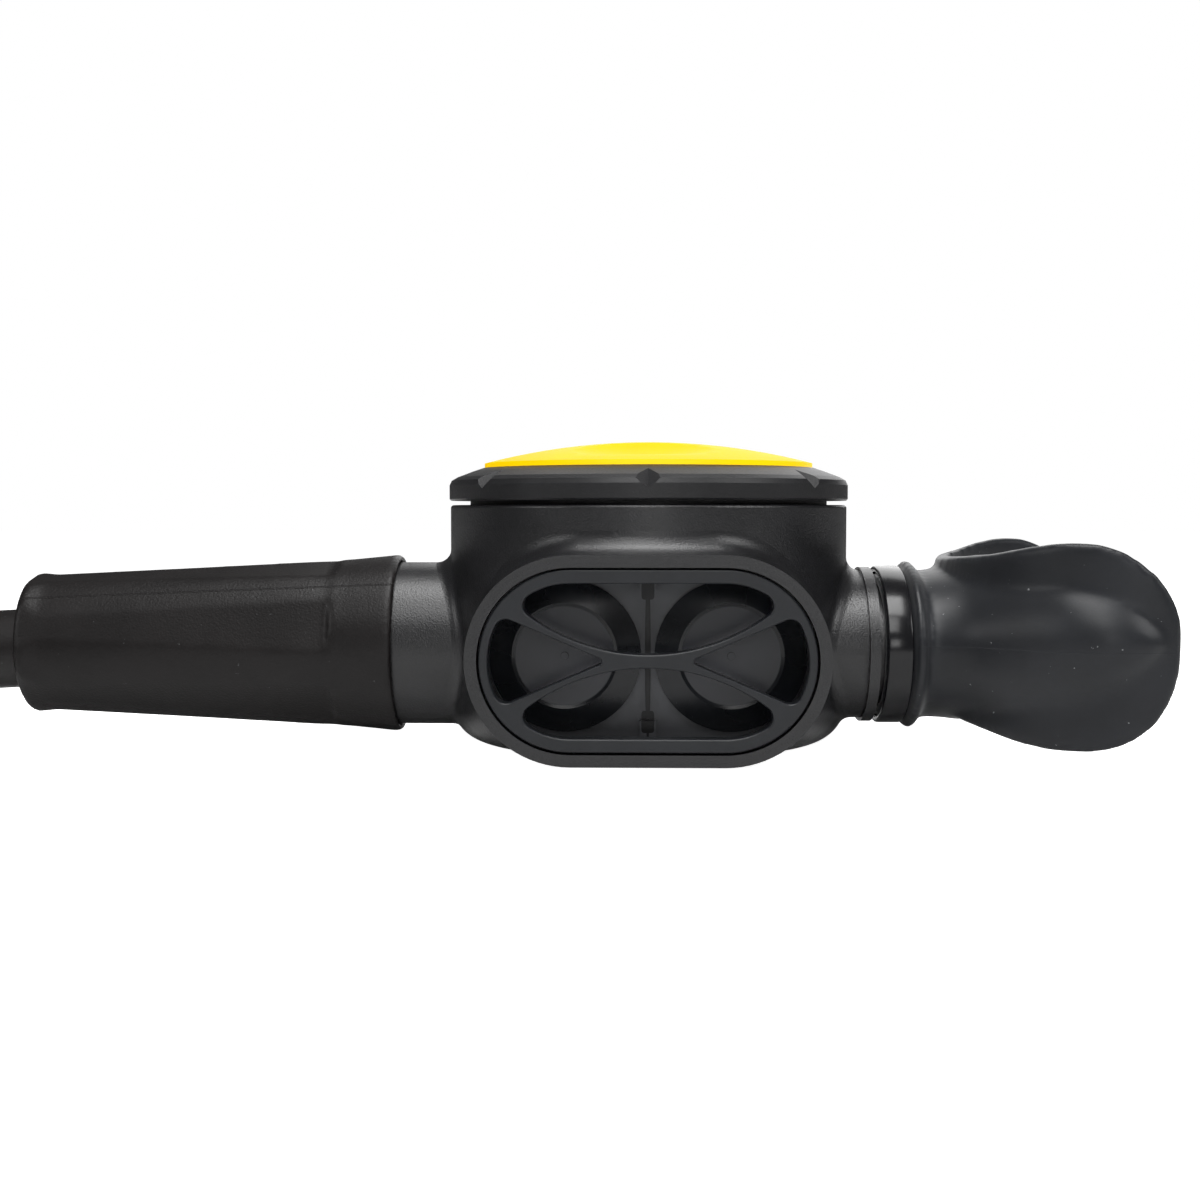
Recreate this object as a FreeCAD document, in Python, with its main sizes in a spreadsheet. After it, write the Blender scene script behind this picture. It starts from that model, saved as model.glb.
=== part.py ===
import FreeCAD, Part
import math
import os
import Sketcher
from FreeCAD import Rotation, Vector
from types import SimpleNamespace

# Side-exhaust second stage of a diving regulator with its low-pressure hose.
# Millimetres.  Origin on the case axis at its flat base, +X to the mouthpiece,
# -Y to the exhaust port, +Z to the purge cover.

SIZES = {
    # round case
    "case_radius": 31.5, "case_height": 37.3, "base_round": 6.0, "rim_round": 0.5,
    "cavity_radius": 26.5, "cavity_floor": 2.2, "ledge_height": 29.7, "bore_radius": 28.6,
    "axis_height": 15.15, "neck_blend": 2.4,
    # inlet neck and mouth neck
    "neck_radius": 13.0, "neck_end": 41.0, "neck_bore": 9.2, "boss_end": 22.6,
    "mouth_half_height": 11.75, "mouth_half_depth": 15.75, "mouth_neck_end": 35.2,
    "spigot_half_height": 9.6, "spigot_half_depth": 15.0, "spigot_end": 43.0,
    "airway_half_height": 7.9, "airway_half_depth": 13.2, "stop_height": 12.3, "stop_depth": 17.0,
    "stop_start": 33.6,
    # exhaust port
    "port_radius": 15.0, "port_straight": 11.0, "port_face": 35.5, "port_blend": 3.4,
    "grille_radius": 13.0, "grille_gap": 0.25, "grille_thick": 3.0, "grille_sink": 0.2,
    "chamber_radius": 12.7, "plate_face": 24.0, "plate_thick": 2.0, "plate_ledge": 1.0,
    "window_rim": 2.0, "window_end_rim": 1.3, "arm_arc": 28.5, "arm_waist": 0.95,
    "side_tip": 6.6, "side_tip_half": 0.35, "side_corner": 20.5, "side_corner_half": 6.3,
    "window_round": 1.7, "grille_bevel": 0.3, "window_past": 6.0,
    # exhaust valves
    "valve_spacing": 12.2, "valve_radius": 11.2, "valve_disc": 7.3, "valve_opening": 9.6,
    "valve_stem": 1.1, "spoke_width": 1.6, "hub_radius": 2.4, "clip_width": 2.4, "rib_width": 0.5,
    "rib_rise": 0.8, "clip_height": 2.8, "clip_rise": 2.4, "spoke_sink": 0.3,
    "skirt_thick": 0.5, "valve_rise": 1.15,
    # cover ring, diaphragm and purge cover
    "ring_gap": 0.7, "ring_radius": 31.7, "ring_wall_top": 40.4, "ring_top": 43.15,
    "ring_mouth": 26.4, "skirt_radius": 28.4, "skirt_bore": 26.6, "skirt_bottom": 32.1,
    "shelf_bottom": 36.1, "shelf_top": 36.9, "shelf_bore": 20.5, "ring_inside": 27.7,
    "ring_lip": 0.9, "notch_count": 7.0, "notch_half_width": 2.1, "notch_depth": 1.0,
    "rim_thick": 1.6, "washer_thick": 0.7, "web_thick": 0.8, "bead_bore": 26.7,
    "disc_radius": 15.5, "disc_bottom": 31.0, "disc_thick": 0.8,
    "cover_radius": 26.1, "cover_flange": 27.3, "flange_bottom": 41.1, "flange_thick": 0.9,
    "cover_edge": 43.9, "cover_apex": 47.3, "cover_wall": 1.6, "purge_boss": 4.0,
    "run_gap": 0.3, "spring_foot": 21.2, "spring_head": 24.6, "spring_strip": 0.5,
    # valve train on the inlet axis
    "stub_radius": 7.14, "stub_end": 55.0, "flange_radius": 12.0, "flange_end": 43.2,
    "fitting_radius": 9.1, "fitting_inner_end": 19.2, "barrel_radius": 6.5, "barrel_bore": 5.3,
    "barrel_start": 37.6, "barrel_end": 19.0, "seat_plane": 37.5, "orifice_radius": 4.3,
    "stem_radius": 1.5, "pivot_x": 13.0, "pivot_rise": 4.4, "lever_drop": 2.6,
    "lever_width": 5.0, "lever_thick": 1.1, "pin_radius": 0.9, "web_x": 7.4, "head_radius": 4.7,
    "nut_thick": 3.0, "nut_flats": 6.4, "barrel_nut_flats": 22.0, "orifice_bore": 1.9,
    "seat_radius": 3.5, "seat_thick": 1.3, "washer_radius": 2.95, "lever_washer_thick": 0.7,
    "valve_wire": 0.42, "valve_spring_mean": 3.6, "valve_spring_turns": 8.0, "valve_spring_gap": 0.5,
    "ear_thick": 3.0, "ear_length": 5.0, "slot_length": 13.0, "air_hole": 2.6, "seal_groove": 0.9,
    # swivel end of the hose
    "swivel_flats": 17.5, "swivel_start": 43.9, "swivel_end": 57.0, "nose_radius": 4.6,
    "hose_radius": 6.35, "ferrule_radius": 8.4, "ferrule_start": 57.4, "ferrule_end": 76.0,
    "ferrule_wall_end": 60.9, "hose_start": 61.0, "stem_bore": 2.4, "swivel_bore": 5.3,
    "crimp_length": 2.5, "crimp_depth": 0.5, "crimp_first": 2.2,
    # rubber hose sleeve
    "sleeve_start": 39.3, "sleeve_end": 97.3, "sleeve_big": 14.2, "sleeve_small": 11.28,
    "sleeve_pocket": 13.2, "pocket_end": 44.2, "sleeve_wide_bore": 10.6, "wide_end": 60.6,
    "sleeve_mid_bore": 8.9, "mid_end": 79.0, "sleeve_bore": 7.3, "flat_end": 51.5,
    "flat_depth": 0.75, "flat_width": 11.4, "flat_turn": 16.0, "flat_count": 6.0,
    # mouthpiece and band
    "collar_start": 35.8, "collar_wall": 1.8, "band_start": 36.1, "band_width": 3.9,
    "band_thick": 1.0, "lip_end": 41.6, "lip_rise": 0.9, "tube_half_height": 11.5,
    "tube_half_depth": 17.4, "wing_centre": 76.5, "wing_long": 30.3, "wing_half": 29.6,
    "wing_thick": 2.6, "wing_height": 30.6, "bite_rise": 1.4, "nose_tip": 73.0,
    "latch_depth": 3.0, "latch_height": 6.5,
    "tab_length": 16.0, "tab_width": 9.0, "tab_thick": 3.2, "tab_gap": 7.0,
    # put-away hose and its far end
    "coil_radius": 64.0, "coil_x": -179.0, "coil_lift": 1.0, "coil_turn": 180.0,
    "straight_end": 119.0, "tie_width": 14.0, "tie_turn": 120.0, "tie_slack": 0.5, "far_rise": 2.3,
    "far_ferrule": 20.0, "hex_flats": 14.3, "hex_length": 10.0, "thread_radius": 4.76,
    "thread_length": 8.5, "thread_core": 4.0, "hose_bore": 4.2, "thread_relief": 2.6,
    "seal_mean": 4.95, "seal_wire": 0.9,
}


class Size:
    """A number and the spreadsheet expression that gives it."""

    def __init__(self, text, number):
        self.text = text
        self.number = number

    def joined(self, sign, other, number):
        return Size(f"({self.text} {sign} {as_size(other).text})", number)

    def __add__(self, other):
        return self.joined("+", other, self.number + as_size(other).number)

    def __sub__(self, other):
        return self.joined("-", other, self.number - as_size(other).number)

    def __mul__(self, other):
        return self.joined("*", other, self.number * as_size(other).number)

    def __truediv__(self, other):
        return self.joined("/", other, self.number / as_size(other).number)

    def __radd__(self, other):
        return as_size(other) + self

    def __rsub__(self, other):
        return as_size(other) - self

    def __rmul__(self, other):
        return as_size(other) * self

    def __neg__(self):
        return Size(f"(-1 * {self.text})", -self.number)


def as_size(value):
    """Give a Size for a Size or a plain number."""
    return value if isinstance(value, Size) else Size(f"({value!r})", float(value))


doc = FreeCAD.newDocument("second_stage")
sheet = doc.addObject("Spreadsheet::Sheet", "sizes")
for row, (alias, number) in enumerate(SIZES.items(), start=1):
    sheet.set(f"A{row}", alias)
    sheet.set(f"B{row}", str(number))
    sheet.setAlias(f"B{row}", alias)
doc.recompute()
p = SimpleNamespace(**{alias: Size(f"sizes.{alias}", number) for alias, number in SIZES.items()})

NODES = {}
ALONG = {
    "X": Rotation(Vector(0, 1, 0), 90),
    "-X": Rotation(Vector(0, 1, 0), -90),
    "Y": Rotation(Vector(1, 0, 0), -90),
    "-Y": Rotation(Vector(1, 0, 0), 90),
    "Z": Rotation(),
}


# --- helpers ------------------------------------------------------------------

def bind(thing, **properties):
    """Bind properties of an object to spreadsheet expressions."""
    for name, value in properties.items():
        thing.setExpression(name, as_size(value).text)
    return thing


def place(thing, at, rotation=None):
    """Place an object, its coordinates bound to the sheet."""
    if rotation is not None:
        thing.Placement = FreeCAD.Placement(Vector(), rotation)
    for axis, value in zip("xyz", at):
        thing.setExpression(f".Placement.Base.{axis}", as_size(value).text)
    return thing


def keep(node, thing):
    """Name the finished object of one node."""
    thing.Label = node
    NODES[node] = thing
    return thing


def cylinder(name, radius, length, at, axis="Z"):
    thing = doc.addObject("Part::Cylinder", name)
    bind(thing, Radius=radius, Height=length)
    return place(thing, at, ALONG[axis])


def box(name, size, at):
    """Make a box from its lowest corner."""
    thing = doc.addObject("Part::Box", name)
    bind(thing, Length=size[0], Width=size[1], Height=size[2])
    return place(thing, at)


def torus(name, ring, wire, at, axis="Z"):
    thing = doc.addObject("Part::Torus", name)
    bind(thing, Radius1=ring, Radius2=wire)
    return place(thing, at, ALONG[axis])


def fuse(name, *parts):
    thing = doc.addObject("Part::MultiFuse", name)
    thing.Shapes = list(parts)
    thing.Refine = True
    return thing


def cut(name, base, *tools):
    tool = tools[0] if len(tools) == 1 else fuse(name + "_tools", *tools)
    thing = doc.addObject("Part::Cut", name)
    thing.Base = base
    thing.Tool = tool
    thing.Refine = True
    return thing


def common(name, *parts):
    thing = doc.addObject("Part::MultiCommon", name)
    thing.Shapes = list(parts)
    thing.Refine = True
    return thing


def rounded(name, base, radius, wanted):
    """Fillet the edges of a base that the given test picks."""
    doc.recompute()
    edges = [number for number, edge in enumerate(base.Shape.Edges, start=1) if wanted(edge)]
    thing = doc.addObject("Part::Fillet", name)
    thing.Base = base
    thing.Edges = [(number, radius, radius) for number in edges]
    doc.recompute()
    return thing


def origin_plane(body, role):
    return next(item for item in body.Origin.OriginFeatures if item.Role == role)


def outline(body, name, plane, corners):
    """Sketch a closed outline whose corners are each placed by two bound distances."""
    sketch = body.newObject("Sketcher::SketchObject", name)
    sketch.AttachmentSupport = (origin_plane(body, plane), [""])
    sketch.MapMode = "FlatFace"
    corners = [(as_size(u), as_size(v)) for u, v in corners]
    points = [Vector(u.number, v.number, 0) for u, v in corners]
    following = points[1:] + points[:1]
    sketch.addGeometry([Part.LineSegment(a, b) for a, b in zip(points, following)], False)
    for line in range(len(points)):
        sketch.addConstraint(Sketcher.Constraint("Coincident", line, 2, (line + 1) % len(points), 1))
    for line, (u, v) in enumerate(corners):
        for kind, value in (("DistanceX", u), ("DistanceY", v)):
            number = sketch.addConstraint(Sketcher.Constraint(kind, -1, 1, line, 1, value.number))
            sketch.setExpression(f"Constraints[{number}]", value.text)
    return sketch


def turned(name, axis, corners, at=(0, 0, 0), rotation=None):
    """Revolve an outline: (radius, z) about Z, or (x, radius) about X."""
    body = doc.addObject("PartDesign::Body", name)
    sketch = outline(body, name + "_outline", "XZ_Plane", corners)
    feature = body.newObject("PartDesign::Revolution", name + "_turn")
    feature.Profile = sketch
    feature.ReferenceAxis = (sketch, ["V_Axis" if axis == "Z" else "H_Axis"])
    feature.Angle = 360
    body.Tip = feature
    return place(body, at, rotation)


def obround(name, radius, straight, start, end):
    """Make a prism of round-ended section that runs along -Y on the port axis."""
    straight = as_size(straight)
    radius = as_size(radius)
    body = doc.addObject("PartDesign::Body", name)
    sketch = body.newObject("Sketcher::SketchObject", name + "_outline")
    sketch.AttachmentSupport = (origin_plane(body, "XZ_Plane"), [""])
    sketch.MapMode = "FlatFace"
    half, round_end = straight.number, radius.number
    quarter = math.pi / 2
    up = Vector(0, 0, 1)
    right = Part.ArcOfCircle(Part.Circle(Vector(half, 0, 0), up, round_end), -quarter, quarter)
    left = Part.ArcOfCircle(Part.Circle(Vector(-half, 0, 0), up, round_end), quarter, 3 * quarter)
    top = Part.LineSegment(Vector(half, round_end, 0), Vector(-half, round_end, 0))
    low = Part.LineSegment(Vector(-half, -round_end, 0), Vector(half, -round_end, 0))
    sketch.addGeometry([right, top, left, low], False)
    for first, end_a, second, end_b in ((0, 2, 1, 1), (1, 2, 2, 1), (2, 2, 3, 1), (3, 2, 0, 1)):
        sketch.addConstraint(Sketcher.Constraint("Tangent", first, end_a, second, end_b))
    for arc in (0, 2):
        sketch.addConstraint(Sketcher.Constraint("PointOnObject", arc, 3, -1))
    number = sketch.addConstraint(Sketcher.Constraint("Radius", 0, round_end))
    sketch.setExpression(f"Constraints[{number}]", radius.text)
    for arc, value in ((0, straight), (2, -straight)):
        number = sketch.addConstraint(Sketcher.Constraint("DistanceX", -1, 1, arc, 3, value.number))
        sketch.setExpression(f"Constraints[{number}]", value.text)
    pad = body.newObject("PartDesign::Pad", name + "_pad")
    pad.Profile = sketch
    bind(pad, Length=as_size(end) - start)
    body.Tip = pad
    return place(body, (0, -as_size(start), p.axis_height))


def oval(name, half_depth, half_height, start, end, rise=0):
    """Make a prism of oval section that runs along +X on the mouth axis."""
    ellipse = oval_line(name + "_line", half_depth, half_height, start, rise)
    thing = doc.addObject("Part::Extrusion", name)
    thing.Base = ellipse
    thing.DirMode = "Custom"
    thing.Dir = Vector(1, 0, 0)
    bind(thing, LengthFwd=as_size(end) - start)
    thing.Solid = True
    return thing


def oval_line(name, half_depth, half_height, start, rise=0):
    ellipse = doc.addObject("Part::Ellipse", name)
    bind(ellipse, MajorRadius=half_depth, MinorRadius=half_height)
    upright = Rotation(Vector(0, 1, 0), Vector(0, 0, 1), Vector(1, 0, 0), "ZXY")
    return place(ellipse, (start, 0, p.axis_height + rise), upright)


def tapped_hex(name, flats, start, end, bores, at=(0, 0, 0), rotation=None):
    """Make a hexagon along -X with coaxial bores given as (radius, from, to)."""
    prism = doc.addObject("Part::Prism", name + "_hex")
    prism.Polygon = 6
    bind(prism, Circumradius=as_size(flats) / math.sqrt(3), Height=as_size(end) - start)
    place(prism, (-as_size(start), 0, 0), ALONG["-X"])
    start, end, inside = as_size(start), as_size(end), as_size(flats) / 2
    past = as_size(flats) / math.sqrt(3) + 0.1
    crown = turned(name + "_crown", "X", [
        (-start, 0), (-end, 0), (-end, inside), (1 - end, past), (-start - 1, past), (-start, inside)])
    blank = common(name + "_blank", prism, crown)
    holes = []
    for number, (radius, first, last) in enumerate(bores):
        holes.append(cylinder(f"{name}_bore_{number}", radius, as_size(last) - first,
                              (-as_size(first), 0, 0), "-X"))
    return place(cut(name, blank, *holes) if holes else blank, at, rotation)


ON_AXIS = (0, 0, p.axis_height)


# --- case ---------------------------------------------------------------------

def level_circle(height):
    """Pick the round edges that lie level at a height."""
    def wanted(edge):
        box_of = edge.BoundBox
        return box_of.ZLength < 0.01 and abs(box_of.ZMin - height) < 0.01
    return wanted


def make_case():
    can = cylinder("case_can", p.case_radius, p.case_height, (0, 0, 0))
    place(can, (0, 0, 0), Rotation(Vector(0, 0, 1), 90))  # seam at the plain back
    can = rounded("case_can_round", can, SIZES["base_round"], level_circle(0))
    can = rounded("case_can_rim", can, SIZES["rim_round"], level_circle(SIZES["case_height"]))
    inlet = cylinder("case_inlet", p.neck_radius, p.neck_end, ON_AXIS, "-X")
    mouth = oval("case_mouth", p.mouth_half_depth, p.mouth_half_height, 0, p.mouth_neck_end)
    port = obround("case_port", p.port_radius, p.port_straight, 0, p.port_face)
    shell = fuse("case_outside", can, inlet, mouth, port)
    shell = rounded("case_blend_port", shell, SIZES["port_blend"], joins_port)
    shell = rounded("case_blend_necks", shell, SIZES["neck_blend"], joins_neck)
    stop = oval("case_stop", p.stop_depth, p.stop_height, p.stop_start, p.mouth_neck_end)
    spigot = oval("case_spigot", p.spigot_half_depth, p.spigot_half_height, 0, p.spigot_end)
    shell = fuse("case_with_spigot", shell, stop, spigot)
    room = cut("case_hollow", make_cavity(), make_inner_walls())
    case = cut("case_body", shell, room, make_port_hollow(), make_neck_hollow())
    keep("case", case)


def joins_port(edge):
    """Pick the line where the upper half of the port housing meets the round wall."""
    box_of = edge.BoundBox
    middle = edge.valueAt((edge.FirstParameter + edge.LastParameter) / 2)
    on_wall = abs(math.hypot(middle.x, middle.y) - SIZES["case_radius"]) < 0.02
    top = SIZES["axis_height"] + SIZES["port_radius"]
    return on_wall and middle.y < -15 and box_of.ZMax > top - 12 and box_of.ZLength < 30


def joins_neck(edge):
    """Pick the line where the inlet neck meets the round wall."""
    middle = edge.valueAt((edge.FirstParameter + edge.LastParameter) / 2)
    on_wall = abs(math.hypot(middle.x, middle.y) - SIZES["case_radius"]) < 0.02
    return on_wall and abs(middle.x) > 26 and middle.z > SIZES["base_round"] and edge.Length > 4


def make_cavity():
    low = cylinder("cavity_low", p.cavity_radius, p.ledge_height - p.cavity_floor,
                   (0, 0, p.cavity_floor))
    high = cylinder("cavity_high", p.bore_radius, p.case_height - p.ledge_height + 1,
                    (0, 0, p.ledge_height))
    return fuse("cavity", low, high)


def make_inner_walls():
    """Port tube and inlet boss where they stand inside the cavity."""
    tube = obround("inner_port", p.port_radius, p.port_straight, p.plate_face + p.plate_thick - 4.6,
                   p.port_face)
    boss = cylinder("inner_boss", p.neck_radius - 1, p.neck_end - p.boss_end,
                    (-p.boss_end, 0, p.axis_height), "-X")
    below = cylinder("inner_limit", p.bore_radius + 5, p.ledge_height - 0.5, (0, 0, 0))
    return common("inner_walls", fuse("inner_walls_all", tube, boss), below)


def make_port_hollow():
    recess = obround("port_recess", p.grille_radius + p.grille_gap, p.port_straight,
                     p.port_face - p.grille_thick - p.grille_sink, p.port_face + 1)
    chamber = obround("port_chamber", p.chamber_radius, p.port_straight,
                      p.plate_face - p.plate_thick, p.port_face)
    throat = obround("port_throat", p.chamber_radius - p.plate_ledge, p.port_straight,
                     p.plate_face - p.plate_thick - 6, p.port_face)
    return fuse("port_hollow", recess, chamber, throat)


def make_neck_hollow():
    inlet = cylinder("inlet_bore", p.neck_bore, p.neck_end - p.boss_end + 2,
                     (-p.boss_end + 1, 0, p.axis_height), "-X")
    airway = oval("airway", p.airway_half_depth, p.airway_half_height, p.cavity_radius - 6,
                  p.spigot_end + 1)
    return fuse("neck_hollow", inlet, airway)


# --- exhaust port -------------------------------------------------------------

def along_depth(edge):
    """Pick the straight edges that run along Y."""
    box_of = edge.BoundBox
    return box_of.YLength > 1 and box_of.XLength < 0.01 and box_of.ZLength < 0.01


def make_window(name, up):
    """Wide window above or below the crossed arms."""
    inner = obround(name + "_field", p.grille_radius - p.window_rim, p.port_straight,
                    p.port_face - p.grille_thick - 2, p.port_face + 2)
    rise = up * (p.arm_arc + p.arm_waist)
    drum = cylinder(name + "_arc", p.arm_arc, p.grille_thick + 8,
                    (0, -(p.port_face - p.grille_thick - 4), p.axis_height + rise), "-Y")
    return rounded(name, common(name + "_sharp", inner, drum), SIZES["window_round"], along_depth)


def make_side_window(name, side):
    """Three-cornered window at one end of the grille."""
    inner = obround(name + "_field", p.grille_radius - p.window_end_rim, p.port_straight,
                    p.port_face - p.grille_thick - 2, p.port_face + 2)
    body = doc.addObject("PartDesign::Body", name + "_wedge")
    slope = (p.side_corner_half - p.side_tip_half) / (p.side_corner - p.side_tip)
    far = p.side_corner + p.window_past
    far_half = p.side_corner_half + slope * p.window_past
    sketch = outline(body, name + "_wedge_outline", "XZ_Plane", [
        (side * p.side_tip, -p.side_tip_half), (side * far, -far_half),
        (side * far, far_half), (side * p.side_tip, p.side_tip_half)])
    pad = body.newObject("PartDesign::Pad", name + "_wedge_pad")
    pad.Profile = sketch
    bind(pad, Length=p.grille_thick + 8)
    body.Tip = pad
    place(body, (0, -(p.port_face - p.grille_thick - 4), p.axis_height))
    sharp = common(name + "_sharp", inner, body)
    tip = SIZES["side_tip"] + SIZES["side_tip_half"] + 0.15
    blunt = rounded(name + "_tip", sharp, SIZES["side_tip_half"] * 0.98,
                    lambda edge: along_depth(edge) and abs(edge.BoundBox.XMin) < tip)
    return rounded(name, blunt, SIZES["window_round"],
                   lambda edge: along_depth(edge) and abs(edge.BoundBox.XMin) > tip + 5)


def make_grille():
    back = p.port_face - p.grille_sink - p.grille_thick
    plate = obround("grille_plate", p.grille_radius, p.port_straight, back, p.port_face - p.grille_sink)
    windows = [make_window("window_upper", 1), make_window("window_lower", -1),
               make_side_window("window_left", -1), make_side_window("window_right", 1)]
    grille = cut("grille_cut", plate, *windows)
    front = -(SIZES["port_face"] - SIZES["grille_sink"])

    def on_front(edge):
        box_of = edge.BoundBox
        return box_of.YLength < 0.01 and abs(box_of.YMin - front) < 0.01

    keep("exhaust_grille", rounded("grille_bevelled", grille, SIZES["grille_bevel"], on_front))


def make_valve_plate():
    back = p.plate_face - p.plate_thick
    spoke_depth = p.plate_thick - 2 * p.spoke_sink
    plate = obround("plate_blank", p.chamber_radius - 0.1, p.port_straight, back + 0.01, p.plate_face)
    cuts = []
    spiders = []
    for name, x in (("left", -p.valve_spacing), ("right", p.valve_spacing)):
        hole = cylinder(f"plate_hole_{name}", p.valve_opening, p.plate_thick + 2,
                        (x, -(back - 1), p.axis_height), "-Y")
        front = -(p.plate_face - p.spoke_sink)
        reach = p.valve_opening + 0.5
        bar = box(f"plate_bar_{name}", (2 * reach, spoke_depth, p.spoke_width),
                  (x - reach, front, p.axis_height - p.spoke_width / 2))
        post = box(f"plate_post_{name}", (p.spoke_width, spoke_depth, 2 * reach),
                   (x - p.spoke_width / 2, front, p.axis_height - reach))
        hub = cylinder(f"plate_hub_{name}", p.hub_radius, spoke_depth,
                       (x, -(back + p.spoke_sink), p.axis_height), "-Y")
        bore = cylinder(f"plate_bore_{name}", p.valve_stem + 0.15, p.plate_thick + 2,
                        (x, -(back - 1), p.axis_height), "-Y")
        cuts.append(hole)
        spiders.append(cut(f"plate_spider_{name}", fuse(f"plate_arms_{name}", bar, post, hub), bore))
    rib_half = p.chamber_radius - 3
    rib = box("plate_rib", (p.rib_width, p.rib_rise, 2 * rib_half),
              (-p.rib_width / 2, -(p.plate_face + p.rib_rise), p.axis_height - rib_half))
    clips = []
    for name, side in (("upper", 1), ("lower", -1)):
        out = side * (p.chamber_radius - p.clip_height / 2 - 0.4)
        clips.append(box(f"plate_clip_{name}", (p.clip_width, p.clip_rise, p.clip_height),
                         (-p.clip_width / 2, -(p.plate_face + p.clip_rise),
                          p.axis_height + out - p.clip_height / 2)))
    keep("valve_plate", fuse("plate", cut("plate_open", plate, *cuts), *spiders, rib, *clips))


def make_exhaust_valve(node, x):
    """Mushroom valve: flat centre, sloping skirt and a stem with a retaining bulb."""
    face = -p.plate_face
    back = -(p.plate_face - p.plate_thick)
    disc = p.valve_rise - face
    tail = -back - 3.4
    body = turned(node + "_turned", "Z", [
        (0, disc + 0.35), (p.valve_stem / 2, disc + 0.35), (p.valve_stem / 2 + 0.05, disc),
        (p.valve_disc, disc), (p.valve_disc + 0.5, disc + 0.2),
        (p.valve_radius, 0.08 + p.skirt_thick - face), (p.valve_radius, 0.08 - face),
        (p.valve_disc, 0.35 - face), (p.valve_stem + 0.6, 0.1 - face), (p.valve_stem, -0.2 - face),
        (p.valve_stem, -back - 0.3), (p.valve_stem + 0.8, -back - 0.7),
        (p.valve_stem * 0.7, tail), (0, tail)], (x, 0, p.axis_height), ALONG["-Y"])
    keep(node, body)


# --- cover ring, diaphragm and purge cover --------------------------------------

def make_cover_ring():
    bottom = p.case_height + p.ring_gap
    ring = turned("ring_turned", "Z", [
        (p.skirt_bore, p.skirt_bottom), (p.skirt_radius, p.skirt_bottom), (p.skirt_radius, bottom),
        (p.ring_radius - 0.25, bottom), (p.ring_radius, bottom + 0.25),
        (p.ring_radius, p.ring_wall_top), (p.ring_radius - 0.35, p.ring_wall_top + 0.75),
        (p.ring_radius - 1.3, p.ring_wall_top + 1.3), (p.ring_mouth + 1.5, p.ring_top - 0.5),
        (p.ring_mouth, p.ring_top), (p.ring_mouth, p.ring_top - p.ring_lip),
        (p.ring_inside, p.ring_top - p.ring_lip), (p.ring_inside, p.shelf_top),
        (p.shelf_bore, p.shelf_top), (p.shelf_bore, p.shelf_bottom), (p.skirt_bore, p.shelf_bottom)])
    notches = []
    count = int(SIZES["notch_count"])
    for number in range(count):
        notches.append(make_notch(f"ring_notch_{number}", number * 360 / count))
    keep("cover_ring", cut("ring_notched", ring, *notches))


def make_notch(name, turn):
    """V-groove whose floor line runs down across the shoulder of the ring."""
    body = doc.addObject("PartDesign::Body", name)
    deep = p.notch_depth
    sketch = outline(body, name + "_vee", "YZ_Plane", [
        (0, -deep), (p.notch_half_width, 0), (p.notch_half_width, 3), (-p.notch_half_width, 3),
        (-p.notch_half_width, 0)])
    pad = body.newObject("PartDesign::Pad", name + "_pad")
    pad.Profile = sketch
    pad.Midplane = True
    pad.Length = 14
    body.Tip = pad
    outward = Rotation(Vector(0, 0, 1), turn - 90)
    sloped = outward.multiply(Rotation(Vector(0, 1, 0), 38))
    reach = SIZES["ring_radius"] - 0.65
    spot = outward.multVec(Vector(reach, 0, 0))
    shoulder = p.ring_radius - 0.65
    place(body, (shoulder * (spot.x / reach), shoulder * (spot.y / reach),
                 p.ring_wall_top + 1.15), sloped)
    return body


def make_diaphragm():
    rim_low = p.ledge_height
    rim_high = rim_low + p.rim_thick
    top = p.disc_bottom + p.disc_thick
    keep("diaphragm", turned("diaphragm_turned", "Z", [
        (0, top + 0.02), (p.disc_radius + 1.2, top + 0.02), (p.disc_radius + 3.4, top + 0.9),
        (p.disc_radius + 6.6, top + 0.9), (p.bead_bore - 2.2, rim_low + 0.5),
        (p.bead_bore - 0.3, rim_low + 0.3),
        (p.bead_bore - 0.3, rim_low), (p.skirt_radius, rim_low), (p.skirt_radius, rim_high),
        (p.bead_bore - 0.3, rim_high), (p.bead_bore - 1.9, rim_low + 0.5 + p.web_thick),
        (p.disc_radius + 6.9, top + 0.9 + p.web_thick), (p.disc_radius + 3.1, top + 0.9 + p.web_thick),
        (p.disc_radius + 0.9, top + 0.02 + p.web_thick), (0, top + 0.02 + p.web_thick)]))
    washer_low = rim_high + 0.02
    keep("ring_washer", turned("washer_turned", "Z", [
        (p.bead_bore, washer_low), (p.skirt_radius - 0.1, washer_low),
        (p.skirt_radius - 0.1, washer_low + p.washer_thick),
        (p.bead_bore, washer_low + p.washer_thick)]))
    keep("diaphragm_disc", turned("disc_turned", "Z", [
        (0, p.disc_bottom), (p.disc_radius - 0.6, p.disc_bottom), (p.disc_radius, p.disc_bottom + 0.3),
        (p.disc_radius, top), (0, top)]))


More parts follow.
